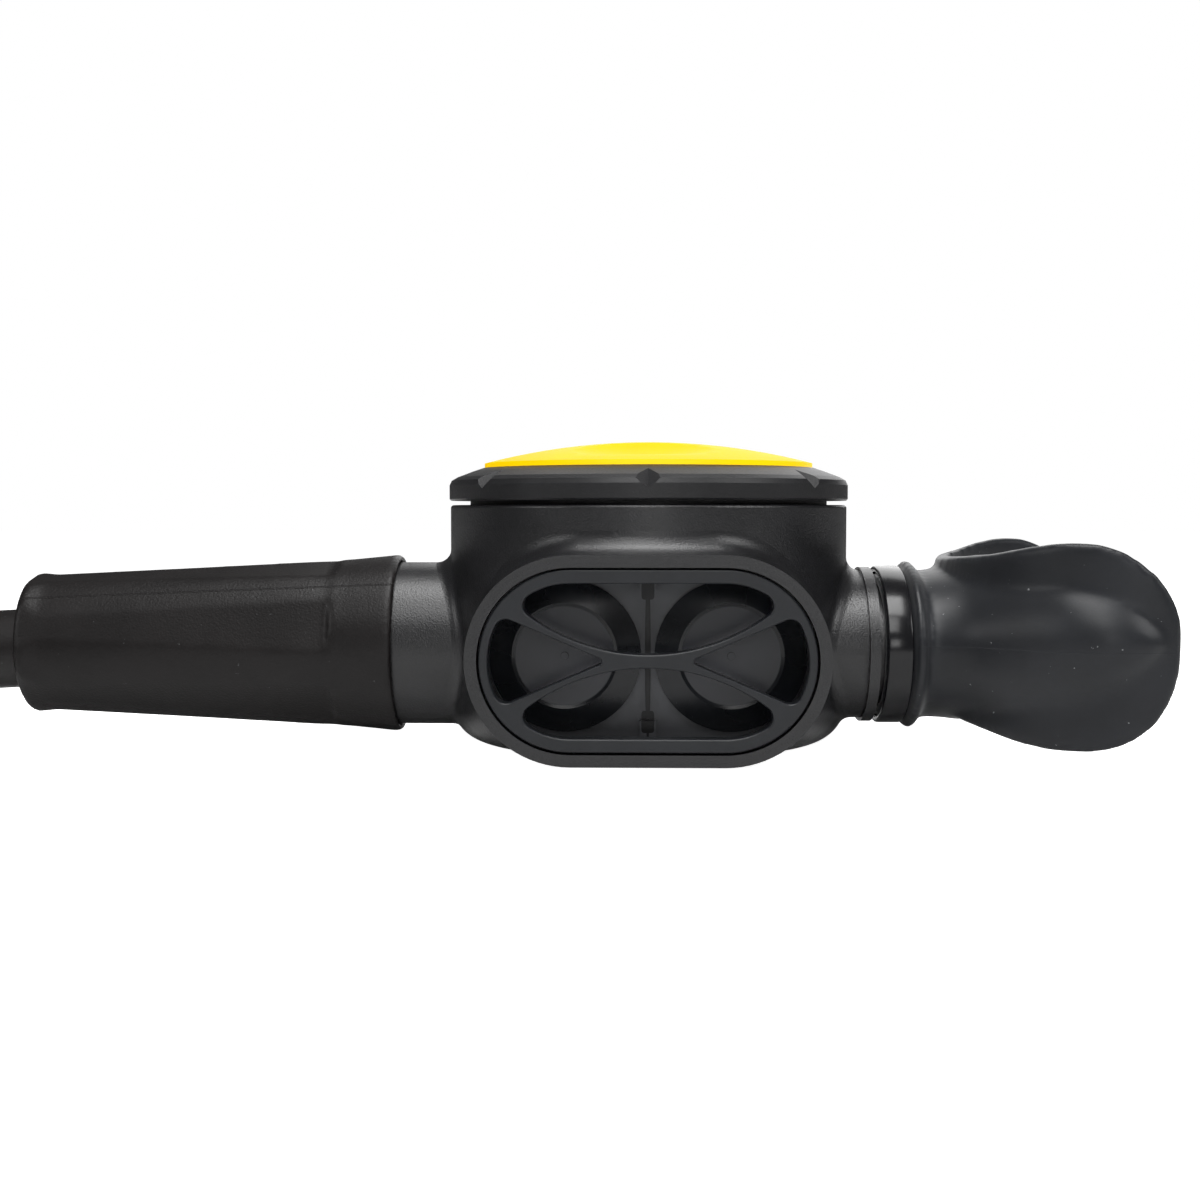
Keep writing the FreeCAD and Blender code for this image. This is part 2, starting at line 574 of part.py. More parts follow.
def make_purge_cover():
    """Domed button with a flange under the ring lip and a centre boss."""
    flange_top = p.flange_bottom + p.flange_thick
    boss_low = p.disc_bottom + p.disc_thick + p.web_thick + p.run_gap + 0.05
    skirt = turned("cover_skirt", "Z", [
        (p.cover_radius - p.cover_wall, p.flange_bottom), (p.cover_flange, p.flange_bottom),
        (p.cover_flange, flange_top), (p.cover_radius, flange_top), (p.cover_radius, p.cover_edge),
        (p.cover_radius - p.cover_wall, p.cover_edge)])
    rise = p.cover_apex - p.cover_edge
    ball = (p.cover_radius * p.cover_radius + rise * rise) / (2 * rise)
    outer = doc.addObject("Part::Sphere", "cover_dome_outer")
    place(bind(outer, Radius=ball), (0, 0, p.cover_apex - ball))
    inner = doc.addObject("Part::Sphere", "cover_dome_inner")
    place(bind(inner, Radius=ball - p.cover_wall), (0, 0, p.cover_apex - ball))
    drum = cylinder("cover_drum", p.cover_radius, rise + 4, (0, 0, p.cover_edge - 1.4))
    dome = common("cover_dome", cut("cover_dome_shell", outer, inner), drum)
    boss = cylinder("cover_boss", p.purge_boss, p.cover_apex - 1 - boss_low, (0, 0, boss_low))
    boss = common("cover_boss_in", boss, outer)
    keep("purge_cover", fuse("cover_whole", skirt, dome, boss))


def make_purge_spring():
    """Conical return spring between the ring's shelf and the cover's flange."""
    foot, head, strip = p.spring_foot, p.spring_head, p.spring_strip
    low, high = p.shelf_top + 0.02, p.flange_bottom - 0.02
    keep("purge_spring", turned("purge_spring_turned", "Z", [
        (foot, low), (foot + 1, low), (head, high - strip), (head + 0.8, high - strip),
        (head + 0.8, high), (head - 0.4, high), (foot + 0.6, low + strip), (foot, low + strip)]))


def make_helix(node, mean, wire, length, turns, at, rotation=None):
    """Round-wire coil spring as a swept solid."""
    spine = Part.makeHelix(length / turns, length, mean)
    start = Vector(mean, 0, 0)
    circle = Part.Wire([Part.makeCircle(wire, start, Vector(0, 1, 0))])
    shape = Part.Wire(spine.Edges).makePipeShell([circle], True, True)
    thing = doc.addObject("Part::Feature", node + "_coil")
    thing.Shape = shape
    place(thing, at, rotation)
    keep(node, thing)


# --- valve train ----------------------------------------------------------------

def make_inlet():
    stub, root = p.stub_radius, p.stub_radius - 0.9
    keep("inlet_fitting", turned("inlet_turned", "X", [
        (-p.stub_end, 4.85), (-p.stub_end, stub - 0.7), (-p.stub_end + 0.7, stub),
        (-p.flange_end - 1.6, stub), (-p.flange_end - 1.2, root), (-p.flange_end, root),
        (-p.flange_end, p.flange_radius), (-p.neck_end - 0.02, p.flange_radius),
        (-p.neck_end - 0.02, p.fitting_radius), (-p.fitting_inner_end, p.fitting_radius),
        (-p.fitting_inner_end, p.barrel_radius + 0.1), (-p.barrel_start - 0.2, p.barrel_radius + 0.1),
        (-p.barrel_start - 0.2, p.orifice_radius + 0.05), (-p.neck_end - 4, p.orifice_radius + 0.05),
        (-p.neck_end - 4, 2.6), (-p.neck_end - 6, 2.6), (-p.neck_end - 6, 4.85)], ON_AXIS))
    keep("barrel_nut", tapped_hex(
        "barrel_nut", p.barrel_nut_flats, p.fitting_inner_end + 0.2, p.boss_end - 0.05,
        [(p.fitting_radius + 0.03, p.fitting_inner_end - 1, p.boss_end + 1)], ON_AXIS))
    crown = p.seat_plane
    keep("orifice", turned("orifice_turned", "X", [
        (-p.neck_end - 3.9, p.orifice_bore), (-p.neck_end - 3.9, p.orifice_radius),
        (-p.neck_end - 2.4, p.orifice_radius),
        (-p.neck_end - 2.4, p.orifice_radius - 0.8), (-p.neck_end - 1.2, p.orifice_radius - 0.8),
        (-p.neck_end - 1.2, p.orifice_radius), (-p.barrel_start - 0.4, p.orifice_radius),
        (-crown, p.orifice_bore + 0.6), (-crown, p.orifice_bore)], ON_AXIS))
    keep("orifice_seal", torus("orifice_seal_ring", p.orifice_radius - 0.4, 0.38,
                               (-p.neck_end - 1.8, 0, p.axis_height), "X"))


def make_barrel():
    """Valve barrel with a seal groove, lever slot, pivot ears and an inner web."""
    groove = p.barrel_radius - p.seal_groove
    tube = turned("barrel_tube", "X", [
        (-p.barrel_start, p.barrel_bore), (-p.barrel_start, p.barrel_radius),
        (4 - p.barrel_start, p.barrel_radius), (4 - p.barrel_start, groove),
        (6 - p.barrel_start, groove), (6 - p.barrel_start, p.barrel_radius),
        (p.barrel_end, p.barrel_radius), (p.barrel_end, p.barrel_bore),
        (-p.web_x + 1.5, p.barrel_bore), (-p.web_x + 1.5, p.stem_radius + 0.2),
        (-p.web_x, p.stem_radius + 0.2), (-p.web_x, p.barrel_bore)], ON_AXIS)
    ears = []
    slot_half = p.lever_width / 2 + 0.4
    for name, y in (("near", -slot_half - p.ear_thick), ("far", slot_half)):
        ears.append(box(f"barrel_ear_{name}", (p.ear_length, p.ear_thick, p.pivot_rise + 2),
                        (p.pivot_x - p.ear_length / 2, y, p.axis_height)))
    slot = box("barrel_slot", (p.slot_length, 2 * slot_half, 12),
               (p.pivot_x - 6, -slot_half, p.axis_height - 5))
    bore = cylinder("barrel_pin_bore", p.pin_radius + 0.04, 24,
                    (p.pivot_x, -12, p.axis_height + p.pivot_rise), "Y")
    ports = cylinder("barrel_port", p.air_hole, 20, (-p.web_x + 5.5, 0, p.axis_height - 10))
    limit = cylinder("barrel_limit", p.barrel_bore, 12, (p.pivot_x - 6, 0, p.axis_height), "X")
    outer_ears = cut("barrel_ears", fuse("barrel_ears_all", *ears), limit)
    keep("valve_barrel", cut("barrel", fuse("barrel_eared", tube, outer_ears), slot, bore, ports))
    keep("barrel_seal", torus("barrel_seal_ring", p.barrel_radius - p.seal_groove / 2, 0.42,
                              (-p.barrel_start + 5, 0, p.axis_height), "X"))
    keep("lever_pin", cylinder("lever_pin_rod", p.pin_radius, p.lever_width + 6.4,
                               (p.pivot_x, -p.lever_width / 2 - 3.2, p.axis_height + p.pivot_rise), "Y"))


def make_poppet():
    seat = p.seat_plane
    keep("poppet_seat", turned("poppet_seat_turned", "X", [
        (0.05 - seat, 0), (0.05 - seat, p.seat_radius), (p.seat_thick - seat, p.seat_radius),
        (p.seat_thick - seat, 0)], ON_AXIS))
    head = p.head_radius
    cup, cup_floor = p.seat_radius + 0.05, p.seat_thick + 0.02 - seat
    keep("poppet", turned("poppet_turned", "X", [
        (cup_floor, 0), (cup_floor, cup), (0.4 - seat, cup), (0.4 - seat, head), (5 - seat, head),
        (5 - seat, 2.3), (7 - seat, 2.3), (7 - seat, p.stem_radius),
        (p.pivot_x + 6, p.stem_radius), (p.pivot_x + 6, 0)], ON_AXIS))
    stop = p.pivot_x + p.lever_thick / 2 + 0.1
    bore, back = p.stem_radius + 0.05, stop + p.lever_washer_thick
    keep("lever_washer", turned("lever_washer_turned", "X", [
        (stop, bore), (stop, p.washer_radius), (back, p.washer_radius), (back, bore)], ON_AXIS))
    keep("poppet_locknut", tapped_hex(
        "poppet_locknut", p.nut_flats, -(back + 0.02 + p.nut_thick), -(back + 0.02),
        [(p.stem_radius + 0.03, -(stop + 5), -(stop - 2))], ON_AXIS))


def make_lever():
    """Bent lever: forked foot, pivot eye and an arm that reaches under the disc centre."""
    body = doc.addObject("PartDesign::Body", "lever_plate")
    eye_z = p.axis_height + p.pivot_rise
    half = p.lever_thick / 2
    tip = p.disc_bottom - p.run_gap
    sketch = outline(body, "lever_outline", "XZ_Plane", [
        (p.pivot_x - half, eye_z - p.lever_drop - 0.6), (p.pivot_x + half, eye_z - p.lever_drop - 0.6),
        (p.pivot_x + half, eye_z - 1.4), (p.pivot_x + 1.7, eye_z - 0.6), (p.pivot_x + 1.7, eye_z + 0.8),
        (p.pivot_x + 0.3, eye_z + 3.4), (-0.4, tip - 0.35), (-0.9, tip), (-1.9, tip),
        (-2.4, tip - 0.5), (-2.0, tip - 1.2), (-1.0, tip - 1.3), (p.pivot_x - 1.3, eye_z + 2.6),
        (p.pivot_x - 1.7, eye_z + 0.8), (p.pivot_x - 1.7, eye_z - 0.6), (p.pivot_x - half, eye_z - 1.4)])
    pad = body.newObject("PartDesign::Pad", "lever_pad")
    pad.Profile = sketch
    pad.Midplane = True
    bind(pad, Length=p.lever_width)
    body.Tip = pad
    eye = cylinder("lever_eye", p.pin_radius + 0.05, p.lever_width + 2,
                   (p.pivot_x, -p.lever_width / 2 - 1, eye_z), "Y")
    fork = box("lever_fork", (8, 2 * p.stem_radius + 0.5, 10),
               (p.pivot_x - 4, -p.stem_radius - 0.25, p.axis_height - 6.8))
    keep("lever", cut("lever_cut", body, eye, fork))


# --- hose end -------------------------------------------------------------------

def make_swivel():
    keep("swivel_nut", tapped_hex("swivel_nut", p.swivel_flats, p.swivel_start, p.swivel_end, [
        (p.stub_radius + 0.1, p.swivel_start - 1, p.stub_end + 0.3),
        (p.swivel_bore, p.swivel_start, p.swivel_end + 1)], ON_AXIS))
    nose = p.nose_radius
    keep("hose_stem", turned("stem_turned", "X", [
        (5.5 - p.stub_end, p.stem_bore), (5.5 - p.stub_end, nose), (3.9 - p.stub_end, nose),
        (3.9 - p.stub_end, nose - 1.1), (2.1 - p.stub_end, nose - 1.1), (2.1 - p.stub_end, nose),
        (0.1 - p.ferrule_wall_end, nose), (0.1 - p.ferrule_wall_end, p.stem_bore)], ON_AXIS))
    keep("stem_seal", torus("stem_seal_ring", nose - 0.55, 0.52,
                            (-p.stub_end + 3, 0, p.axis_height), "X"))
    keep("hose_ferrule", crimped("hose_ferrule_turned", p.ferrule_start, p.ferrule_wall_end,
                                 p.ferrule_end, nose + 0.03, ON_AXIS))


def crimp_groove(first):
    """Give the four corners of one rolled groove, its near edge at a place on the axis."""
    outer, deep, long = p.ferrule_radius, p.crimp_depth, p.crimp_length
    return [(first, outer), (first - deep, outer - deep), (first - long + deep, outer - deep),
            (first - long, outer)]


def crimped(name, start, wall, end, bore, at, rotation=None):
    """Crimped ferrule along -X with three rolled grooves."""
    outer = p.ferrule_radius
    pitch = (as_size(end) - start - 5) / 3
    corners = [(-start, bore), (-start, outer - 0.6), (-start - 0.6, outer)]
    for number in range(3):
        corners += crimp_groove(-as_size(start) - p.crimp_first - pitch * number)
    corners += [(-end + 0.5, outer), (-end, outer - 0.5), (-end, p.hose_radius + 0.12),
                (-wall, p.hose_radius + 0.12), (-wall, bore)]
    return turned(name, "X", corners, at, rotation)


def make_sleeve():
    """Tapered rubber sleeve with six long recessed flats at its narrow end."""
    start, end = p.sleeve_start, p.sleeve_end
    body = turned("sleeve_turned", "X", [
        (-start, p.sleeve_big - 0.5), (-start - 0.6, p.sleeve_big), (-start - 1.6, p.sleeve_big - 0.1),
        (-start - 8.2, p.sleeve_big - 0.75), (-start - 17.7, p.sleeve_big - 1.25),
        (-start - 31.7, p.sleeve_big - 2.05), (-end + 3.6, p.sleeve_small - 0.33),
        (-end + 0.8, p.sleeve_small), (-end, p.sleeve_small - 0.9),
        (-end, p.sleeve_bore), (-p.mid_end, p.sleeve_bore), (-p.mid_end, p.sleeve_mid_bore),
        (-p.wide_end, p.sleeve_mid_bore), (-p.wide_end, p.sleeve_wide_bore),
        (-p.pocket_end, p.sleeve_wide_bore), (-p.pocket_end, p.sleeve_pocket),
        (-start, p.sleeve_pocket)],
        ON_AXIS)
    flats = []
    small = SIZES["sleeve_small"] - SIZES["flat_depth"]
    big = SIZES["sleeve_big"] - 1.0 - SIZES["flat_depth"]
    slope = math.degrees(math.atan2(big - small, SIZES["sleeve_end"] - SIZES["flat_end"]))
    half = SIZES["flat_width"] / 2
    count = int(SIZES["flat_count"])
    for number in range(count):
        flat = doc.addObject("Part::Box", f"sleeve_flat_{number}")
        bind(flat, Length=end - p.flat_end + 2, Width=p.flat_width, Height=4)
        around = Rotation(Vector(1, 0, 0), 90 - SIZES["flat_turn"] + number * 360 / count)
        corner = around.multVec(Vector(0, -half, small))
        tilt = around.multiply(Rotation(Vector(0, 1, 0), -slope))
        place(flat, (-end - 1.9, corner.y, p.axis_height + corner.z), tilt)
        flats.append(flat)
    keep("hose_sleeve", cut("sleeve", body, *flats))


# --- mouthpiece -----------------------------------------------------------------

def make_mouthpiece():
    """Collar, lip, tube, side fairings, curved lip flange and two bite tabs."""
    inner_h = p.spigot_half_height + 0.05
    inner_d = p.spigot_half_depth + 0.05
    collar = oval("mouth_collar", inner_d + p.collar_wall, inner_h + p.collar_wall,
                  p.collar_start, p.lip_end)
    lip_out = p.collar_wall + p.lip_rise + 1.1
    lip = oval("mouth_lip", inner_d + lip_out, inner_h + lip_out,
               p.band_start + p.band_width + 0.2, p.lip_end)
    lines = []
    sections = ((0, 1.0, 0, 0), (0.3, 0.99, 0.22, 0.3), (0.65, 0.78, 0.62, 0.7),
                (0.9, 0.42, 0.93, 1.0), (1.0, 0.1, 1.0, 1.0))
    span = p.nose_tip - p.lip_end + 1
    for number, (along, tall, wide, rise) in enumerate(sections):
        lines.append(oval_line(f"fairing_{number}",
                               p.tube_half_depth + wide * (p.wing_half - p.tube_half_depth - 0.6),
                               tall * p.tube_half_height,
                               p.lip_end - 1 + span * along, rise * p.bite_rise))
    fairing = doc.addObject("Part::Loft", "mouth_fairing")
    fairing.Sections = lines
    fairing.Solid = True
    wing = make_wing()
    solid = fuse("mouth_outside", collar, lip, fairing, wing)
    hollow = wing_prism("mouth_inside", -p.wing_thick)
    airway = oval("mouth_airway", p.airway_half_depth, p.airway_half_height, p.collar_start - 1,
                  p.wing_centre)
    socket = oval("mouth_socket", inner_d, inner_h, p.collar_start - 1, p.spigot_end + 0.1)
    soft = cut("mouth_shell", solid, hollow, airway, socket)
    tabs = []
    for name, side in (("near", -1), ("far", 1)):
        tabs.append(make_bite_tab(name, side))
    keep("mouthpiece", fuse("mouth_whole", soft, *tabs))


def wing_prism(name, change):
    """Upright prism of the flange's plan, an ellipse moved in or out by a wall."""
    ellipse = doc.addObject("Part::Ellipse", name + "_plan")
    bind(ellipse, MajorRadius=p.wing_long + change, MinorRadius=p.wing_half + change)
    place(ellipse, (p.wing_centre, 0, p.axis_height - 30), Rotation())
    thing = doc.addObject("Part::Extrusion", name)
    thing.Base = ellipse
    thing.DirMode = "Custom"
    thing.Dir = Vector(0, 0, 1)
    thing.LengthFwd = 60
    thing.Solid = True
    return thing


def make_wing():
    """Flange: a curved band cut to its side outline."""
    band = cut("wing_band", wing_prism("wing_outer", 0), wing_prism("wing_inner", -p.wing_thick))
    half = p.wing_height / 2
    middle = p.axis_height + p.bite_rise
    head = cylinder("wing_head", half, 80, (p.wing_centre - half, -40, middle), "Y")
    front = p.wing_centre - p.wing_long - 1
    tail = box("wing_tail", (p.wing_centre - half - front, 80, p.wing_height - 4.6),
               (front, -40, middle - half + 2.3))
    return common("wing", band, fuse("wing_side", head, tail))


def make_bite_tab(name, side):
    """Tongue that the teeth close on, joined to the inside of the flange."""
    low = p.axis_height + p.bite_rise - p.tab_thick / 2
    start = p.wing_centre - p.tab_length - 4
    y = p.wing_half - p.wing_thick - p.tab_width - 3
    tongue = box(f"tab_tongue_{name}", (p.tab_length, p.tab_width + 4, p.tab_thick),
                 (start, side * (y + p.tab_width / 2 + 2) - p.tab_width / 2 - 2, low))
    lug = box(f"tab_lug_{name}", (2.2, p.tab_width, p.tab_gap + p.tab_thick),
              (start + p.tab_length - 2.2, side * (y + p.tab_width / 2) - p.tab_width / 2,
               low - p.tab_gap / 2))
    inside = wing_prism(f"tab_limit_{name}", -p.wing_thick + 1)
    return common(f"tab_{name}", fuse(f"tab_all_{name}", tongue, lug), inside)


def make_band():
    """Moulded strap round the collar, its square latch at the back."""
    start = p.band_start
    end = start + p.band_width
    inner_d = p.spigot_half_depth + 0.1 + p.collar_wall
    inner_h = p.spigot_half_height + 0.1 + p.collar_wall
    outer = oval("band_outer", inner_d + p.band_thick, inner_h + p.band_thick, start, end)
    strap = cut("band_strap", outer, oval("band_inner", inner_d, inner_h, start - 1, end + 1))
    keep("mouthpiece_band", strap)
    latch_y = inner_d + p.band_thick + 0.03
    latch = box("latch_block", (p.band_width, p.latch_depth, p.latch_height),
                (start, latch_y, p.axis_height - p.latch_height / 2))
    keep("band_latch", latch)


# --- put-away hose ----------------------------------------------------------------

def coil_frame(turn):
    """Point and heading on the coil's centre circle, counter-clockwise from its top."""
    angle = math.radians(turn)
    x = SIZES["coil_x"] - SIZES["coil_radius"] * math.sin(angle)
    y = -SIZES["coil_radius"] + SIZES["coil_radius"] * math.cos(angle)
    return Vector(x, y, 0), 180 + turn


def rounded_path(points):
    """Straight runs joined by tangent arcs, each as large as its runs allow."""
    edges = []
    last = points[0]
    for before, corner, after in zip(points, points[1:], points[2:]):
        back = (before - corner).normalize()
        ahead = (after - corner).normalize()
        turn = math.pi - back.getAngle(ahead)
        run = min((before - corner).Length, (after - corner).Length)
        reach = 0.45 * run
        radius = reach / math.tan(turn / 2)
        print(f"hose arc radius {radius:.1f} mm, {radius / (2 * SIZES['hose_radius']):.1f} diameters")
        first = corner + back * reach
        final = corner + ahead * reach
        centre_way = (back + ahead).normalize()
        middle = corner + centre_way * (radius / math.cos(turn / 2) - radius)
        edges.append(Part.LineSegment(last, first).toShape())
        edges.append(Part.Arc(first, middle, final).toShape())
        last = final
    edges.append(Part.LineSegment(last, points[-1]).toShape())
    return Part.Wire(edges)


def make_hose():
    """Free stretch of hose from the ferrule to the coil, and the coil itself."""
    upper = SIZES["axis_height"]
    lower = SIZES["hose_radius"] + SIZES["coil_lift"]
    points = [Vector(-SIZES["hose_start"], 0, upper), Vector(-89, 0, upper - 0.05),
              Vector(-SIZES["straight_end"], 0, upper - 0.3), Vector(-147, 0, lower + 0.6),
              Vector(-174, 0, lower)]
    path = rounded_path(points)
    circle = Part.Wire([Part.makeCircle(SIZES["hose_radius"], points[0], Vector(1, 0, 0))])
    shape = path.makePipeShell([circle], True, False)
    thing = doc.addObject("Part::Feature", "hose_tube")
    thing.Shape = shape
    area = math.pi * SIZES["hose_radius"] ** 2
    print(f"hose tube volume {shape.Volume:.1f}, section times length {area * path.Length:.1f}")
    keep("hose", thing)


def make_coil():
    centre = (p.coil_x, -p.coil_radius, p.coil_lift)
    deep = 4 * p.hose_radius
    ring = cut("coil_ring", cylinder("coil_outer", p.coil_radius + p.hose_radius, deep, centre),
               cylinder("coil_inner", p.coil_radius - p.hose_radius, deep, centre))
    room = far_box("coil_room", (-1.0, 62.0), (-22.0, 11.0), (2 * SIZES["hose_radius"], 40.0))
    keep("hose_coil", cut("coil", ring, room))
    keep("coil_tie", make_tie())


def far_box(name, along, across, height):
    """Box in the frame of the hose's far end: along its axis, inwards and up."""
    spot, heading = coil_frame(SIZES["coil_turn"])
    turn = Rotation(Vector(0, 0, 1), heading)
    corner = spot + turn.multVec(Vector(along[0], across[0], 0))
    thing = doc.addObject("Part::Box", name)
    thing.Length = along[1] - along[0]
    thing.Width = across[1] - across[0]
    thing.Height = height[1] - height[0]
    shift_x = corner.x - SIZES["coil_x"]
    shift_y = corner.y + SIZES["coil_radius"]
    return place(thing, (p.coil_x + shift_x, shift_y - p.coil_radius, p.coil_lift + height[0]), turn)


def make_tie():
    """Flat strap closed round both laps of the coil."""
    spot, heading = coil_frame(SIZES["tie_turn"])
    turn = Rotation(Vector(0, 0, 1), heading)
    blocks = []
    for name, wall, extra in (("outer", p.coil_lift, 0), ("inner", as_size(0), 2)):
        length = p.tie_width + extra
        half = p.hose_radius + p.tie_slack + wall
        block = doc.addObject("Part::Box", f"tie_{name}")
        bind(block, Length=length, Width=2 * half, Height=4 * p.hose_radius + 2 * wall)
        corner = spot + turn.multVec(Vector(-length.number / 2, -half.number, 0))
        place(block, (p.coil_x + (corner.x - SIZES["coil_x"]),
                      corner.y + SIZES["coil_radius"] - p.coil_radius, p.coil_lift - wall), turn)
        blocks.append(block)
    return cut("tie", *blocks)


def make_far_end():
    """Crimped ferrule, first-stage fitting and its seal, lying on the lower lap."""
    spot, heading = coil_frame(SIZES["coil_turn"])
    turn = Rotation(Vector(0, 0, 1), heading + 180)
    height = p.coil_lift + 3 * p.hose_radius + p.far_rise
    at = (p.coil_x + (spot.x - SIZES["coil_x"]), spot.y + SIZES["coil_radius"] - p.coil_radius, height)
    end = p.far_ferrule
    outer = p.ferrule_radius
    corners = [(0, p.hose_bore), (0, outer - 0.5), (-0.5, outer)]
    for number in range(3):
        corners += crimp_groove(-p.crimp_first - (end - 5) / 3 * number)
    corners += [(-end + 0.6, outer), (-end, outer - 0.6), (-end, p.hose_bore)]
    keep("far_ferrule", turned("far_ferrule_turned", "X", corners, at, turn))
    hexagon = tapped_hex("far_hex", p.hex_flats, end + 0.02, end + p.hex_length, [])
    shoulder = -end - p.hex_length
    tip = shoulder - p.thread_relief - p.thread_length
    thread = turned("far_thread", "X", [
        (0, p.stem_bore), (0, p.hose_bore - 0.05), (-end - 1, p.hose_bore - 0.05),
        (shoulder, p.thread_core), (0.4 - p.thread_relief + shoulder, p.thread_core),
        (shoulder - p.thread_relief, p.thread_radius), (tip + 0.7, p.thread_radius),
        (tip, p.thread_radius - 0.7), (tip, p.stem_bore)])
    bore = cylinder("far_bore", p.stem_bore, 4 - tip, (2, 0, 0), "-X")
    fitting = cut("far_fitting", fuse("far_fitting_blank", hexagon, thread), bore)
    keep("first_stage_fitting", place(fitting, at, turn))
    seal = doc.addObject("Part::Torus", "far_seal_ring")
    bind(seal, Radius1=p.seal_mean, Radius2=p.seal_wire)
    along = turn.multVec(Vector(-1, 0, 0))
    reach = p.seal_wire + 0.05 - shoulder
    quarter = turn.multiply(ALONG["-X"])
    place(seal, (at[0] + reach * along.x, at[1] + reach * along.y, height), quarter)
    keep("fitting_seal", seal)


# --- assembly -----------------------------------------------------------------

make_case()
make_grille()
make_valve_plate()
make_exhaust_valve("exhaust_valve_left", -p.valve_spacing)
make_exhaust_valve("exhaust_valve_right", p.valve_spacing)
make_cover_ring()
make_diaphragm()
make_purge_cover()
make_purge_spring()
make_inlet()
make_barrel()
make_poppet()
SPRING_INSET = 5.0 + SIZES["valve_spring_gap"]
make_helix("poppet_spring", SIZES["valve_spring_mean"], SIZES["valve_wire"],
           SIZES["seat_plane"] - SPRING_INSET - SIZES["web_x"] - SIZES["valve_spring_gap"],
           SIZES["valve_spring_turns"], (SPRING_INSET - p.seat_plane, 0, p.axis_height), ALONG["X"])
make_lever()
make_swivel()
make_sleeve()
make_mouthpiece()
make_band()
make_hose()
make_coil()
make_far_end()
doc.recompute()

for thing in doc.Objects:
    if "Invalid" in thing.State or "Error" in thing.State:
        raise RuntimeError(f"{thing.Name} failed: {thing.State}")
for node, thing in NODES.items():
    if thing.Shape.isNull() or not thing.Shape.isValid():
        raise RuntimeError(f"{node} has no valid shape")

os.makedirs("parts", exist_ok=True)
for node, thing in NODES.items():
    thing.Shape.exportStep(f"parts/{node}.step")
    box_of = thing.Shape.BoundBox
    print(f"{node}: {len(thing.Shape.Solids)} solids, {thing.Shape.Volume:.1f} mm3, "
          f"x {box_of.XMin:.1f}..{box_of.XMax:.1f} y {box_of.YMin:.1f}..{box_of.YMax:.1f} "
          f"z {box_of.ZMin:.1f}..{box_of.ZMax:.1f}")
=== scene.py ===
"""Looks of a side-exhaust second stage and its low-pressure hose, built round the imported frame.

Every length is in metres, in the frame's own axes: +X to the mouthpiece, -Y out of the exhaust
port, +Z to the purge cover.
"""

import logging
import math
from dataclasses import dataclass
from enum import Enum
from typing import Callable, Sequence

import bmesh
import bpy
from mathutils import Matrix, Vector

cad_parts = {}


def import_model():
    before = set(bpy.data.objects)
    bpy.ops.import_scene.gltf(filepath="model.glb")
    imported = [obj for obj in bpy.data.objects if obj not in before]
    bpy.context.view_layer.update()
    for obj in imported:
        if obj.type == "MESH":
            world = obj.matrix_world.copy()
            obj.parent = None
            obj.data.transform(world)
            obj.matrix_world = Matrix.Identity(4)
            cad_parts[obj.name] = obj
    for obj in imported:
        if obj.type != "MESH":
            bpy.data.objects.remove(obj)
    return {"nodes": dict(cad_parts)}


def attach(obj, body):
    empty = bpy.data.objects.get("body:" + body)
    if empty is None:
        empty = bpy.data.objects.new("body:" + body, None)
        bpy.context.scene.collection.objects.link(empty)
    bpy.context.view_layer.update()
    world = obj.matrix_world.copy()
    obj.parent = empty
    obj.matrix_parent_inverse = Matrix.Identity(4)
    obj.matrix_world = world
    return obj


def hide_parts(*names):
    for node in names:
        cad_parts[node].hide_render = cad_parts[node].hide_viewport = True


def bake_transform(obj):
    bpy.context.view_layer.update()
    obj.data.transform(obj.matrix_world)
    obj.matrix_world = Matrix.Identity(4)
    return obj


LOG = logging.getLogger("second_stage")
MM = 0.001
Colour = tuple[float, float, float]
Point = tuple[float, float, float]

# Sizes that several pieces share.
AXIS_HEIGHT = 15.15 * MM
HOSE_DIAMETER = 12.7 * MM
HOSE_LIFT = 1.0 * MM
COIL_CENTRE_X = -179.0 * MM
COIL_RADIUS = 64.0 * MM


# --- shader maths ---------------------------------------------------------------

class Value:
    """One output socket, with the arithmetic that adds Math nodes."""

    def __init__(self, graph: "Graph", socket: bpy.types.NodeSocket) -> None:
        """Wrap a socket of a graph."""
        self.graph = graph
        self.socket = socket

    def _math(self, operation: str, first: object, second: object = 0.0) -> "Value":
        """Add one Math node."""
        return self.graph.node("ShaderNodeMath", {"operation": operation}, {0: first, 1: second})

    def __add__(self, other: object) -> "Value":
        """Add."""
        return self._math("ADD", self, other)

    def __sub__(self, other: object) -> "Value":
        """Subtract."""
        return self._math("SUBTRACT", self, other)

    def __rsub__(self, other: object) -> "Value":
        """Subtract this value from another."""
        return self._math("SUBTRACT", other, self)

    def __mul__(self, other: object) -> "Value":
        """Multiply."""
        return self._math("MULTIPLY", self, other)

    def __rmul__(self, other: object) -> "Value":
        """Multiply."""
        return self._math("MULTIPLY", other, self)

    def __radd__(self, other: object) -> "Value":
        """Add."""
        return self._math("ADD", other, self)

    def at_least(self, other: object) -> "Value":
        """Give the larger of this value and another."""
        return self._math("MAXIMUM", self, other)

    def size(self) -> "Value":
        """Give this value without its sign."""
        return self._math("ABSOLUTE", self)

    def above(self, low: float, high: float) -> "Value":
        """Give 0 below low, 1 above high and a smooth step between.

        Args:
            low: value at which the step starts.
            high: value at which the step ends.

        Returns:
            The step's value.
        """
        return self.graph.node(
            "ShaderNodeMapRange", {"interpolation_type": "SMOOTHSTEP"},
            {"Value": self, "From Min": low, "From Max": high})


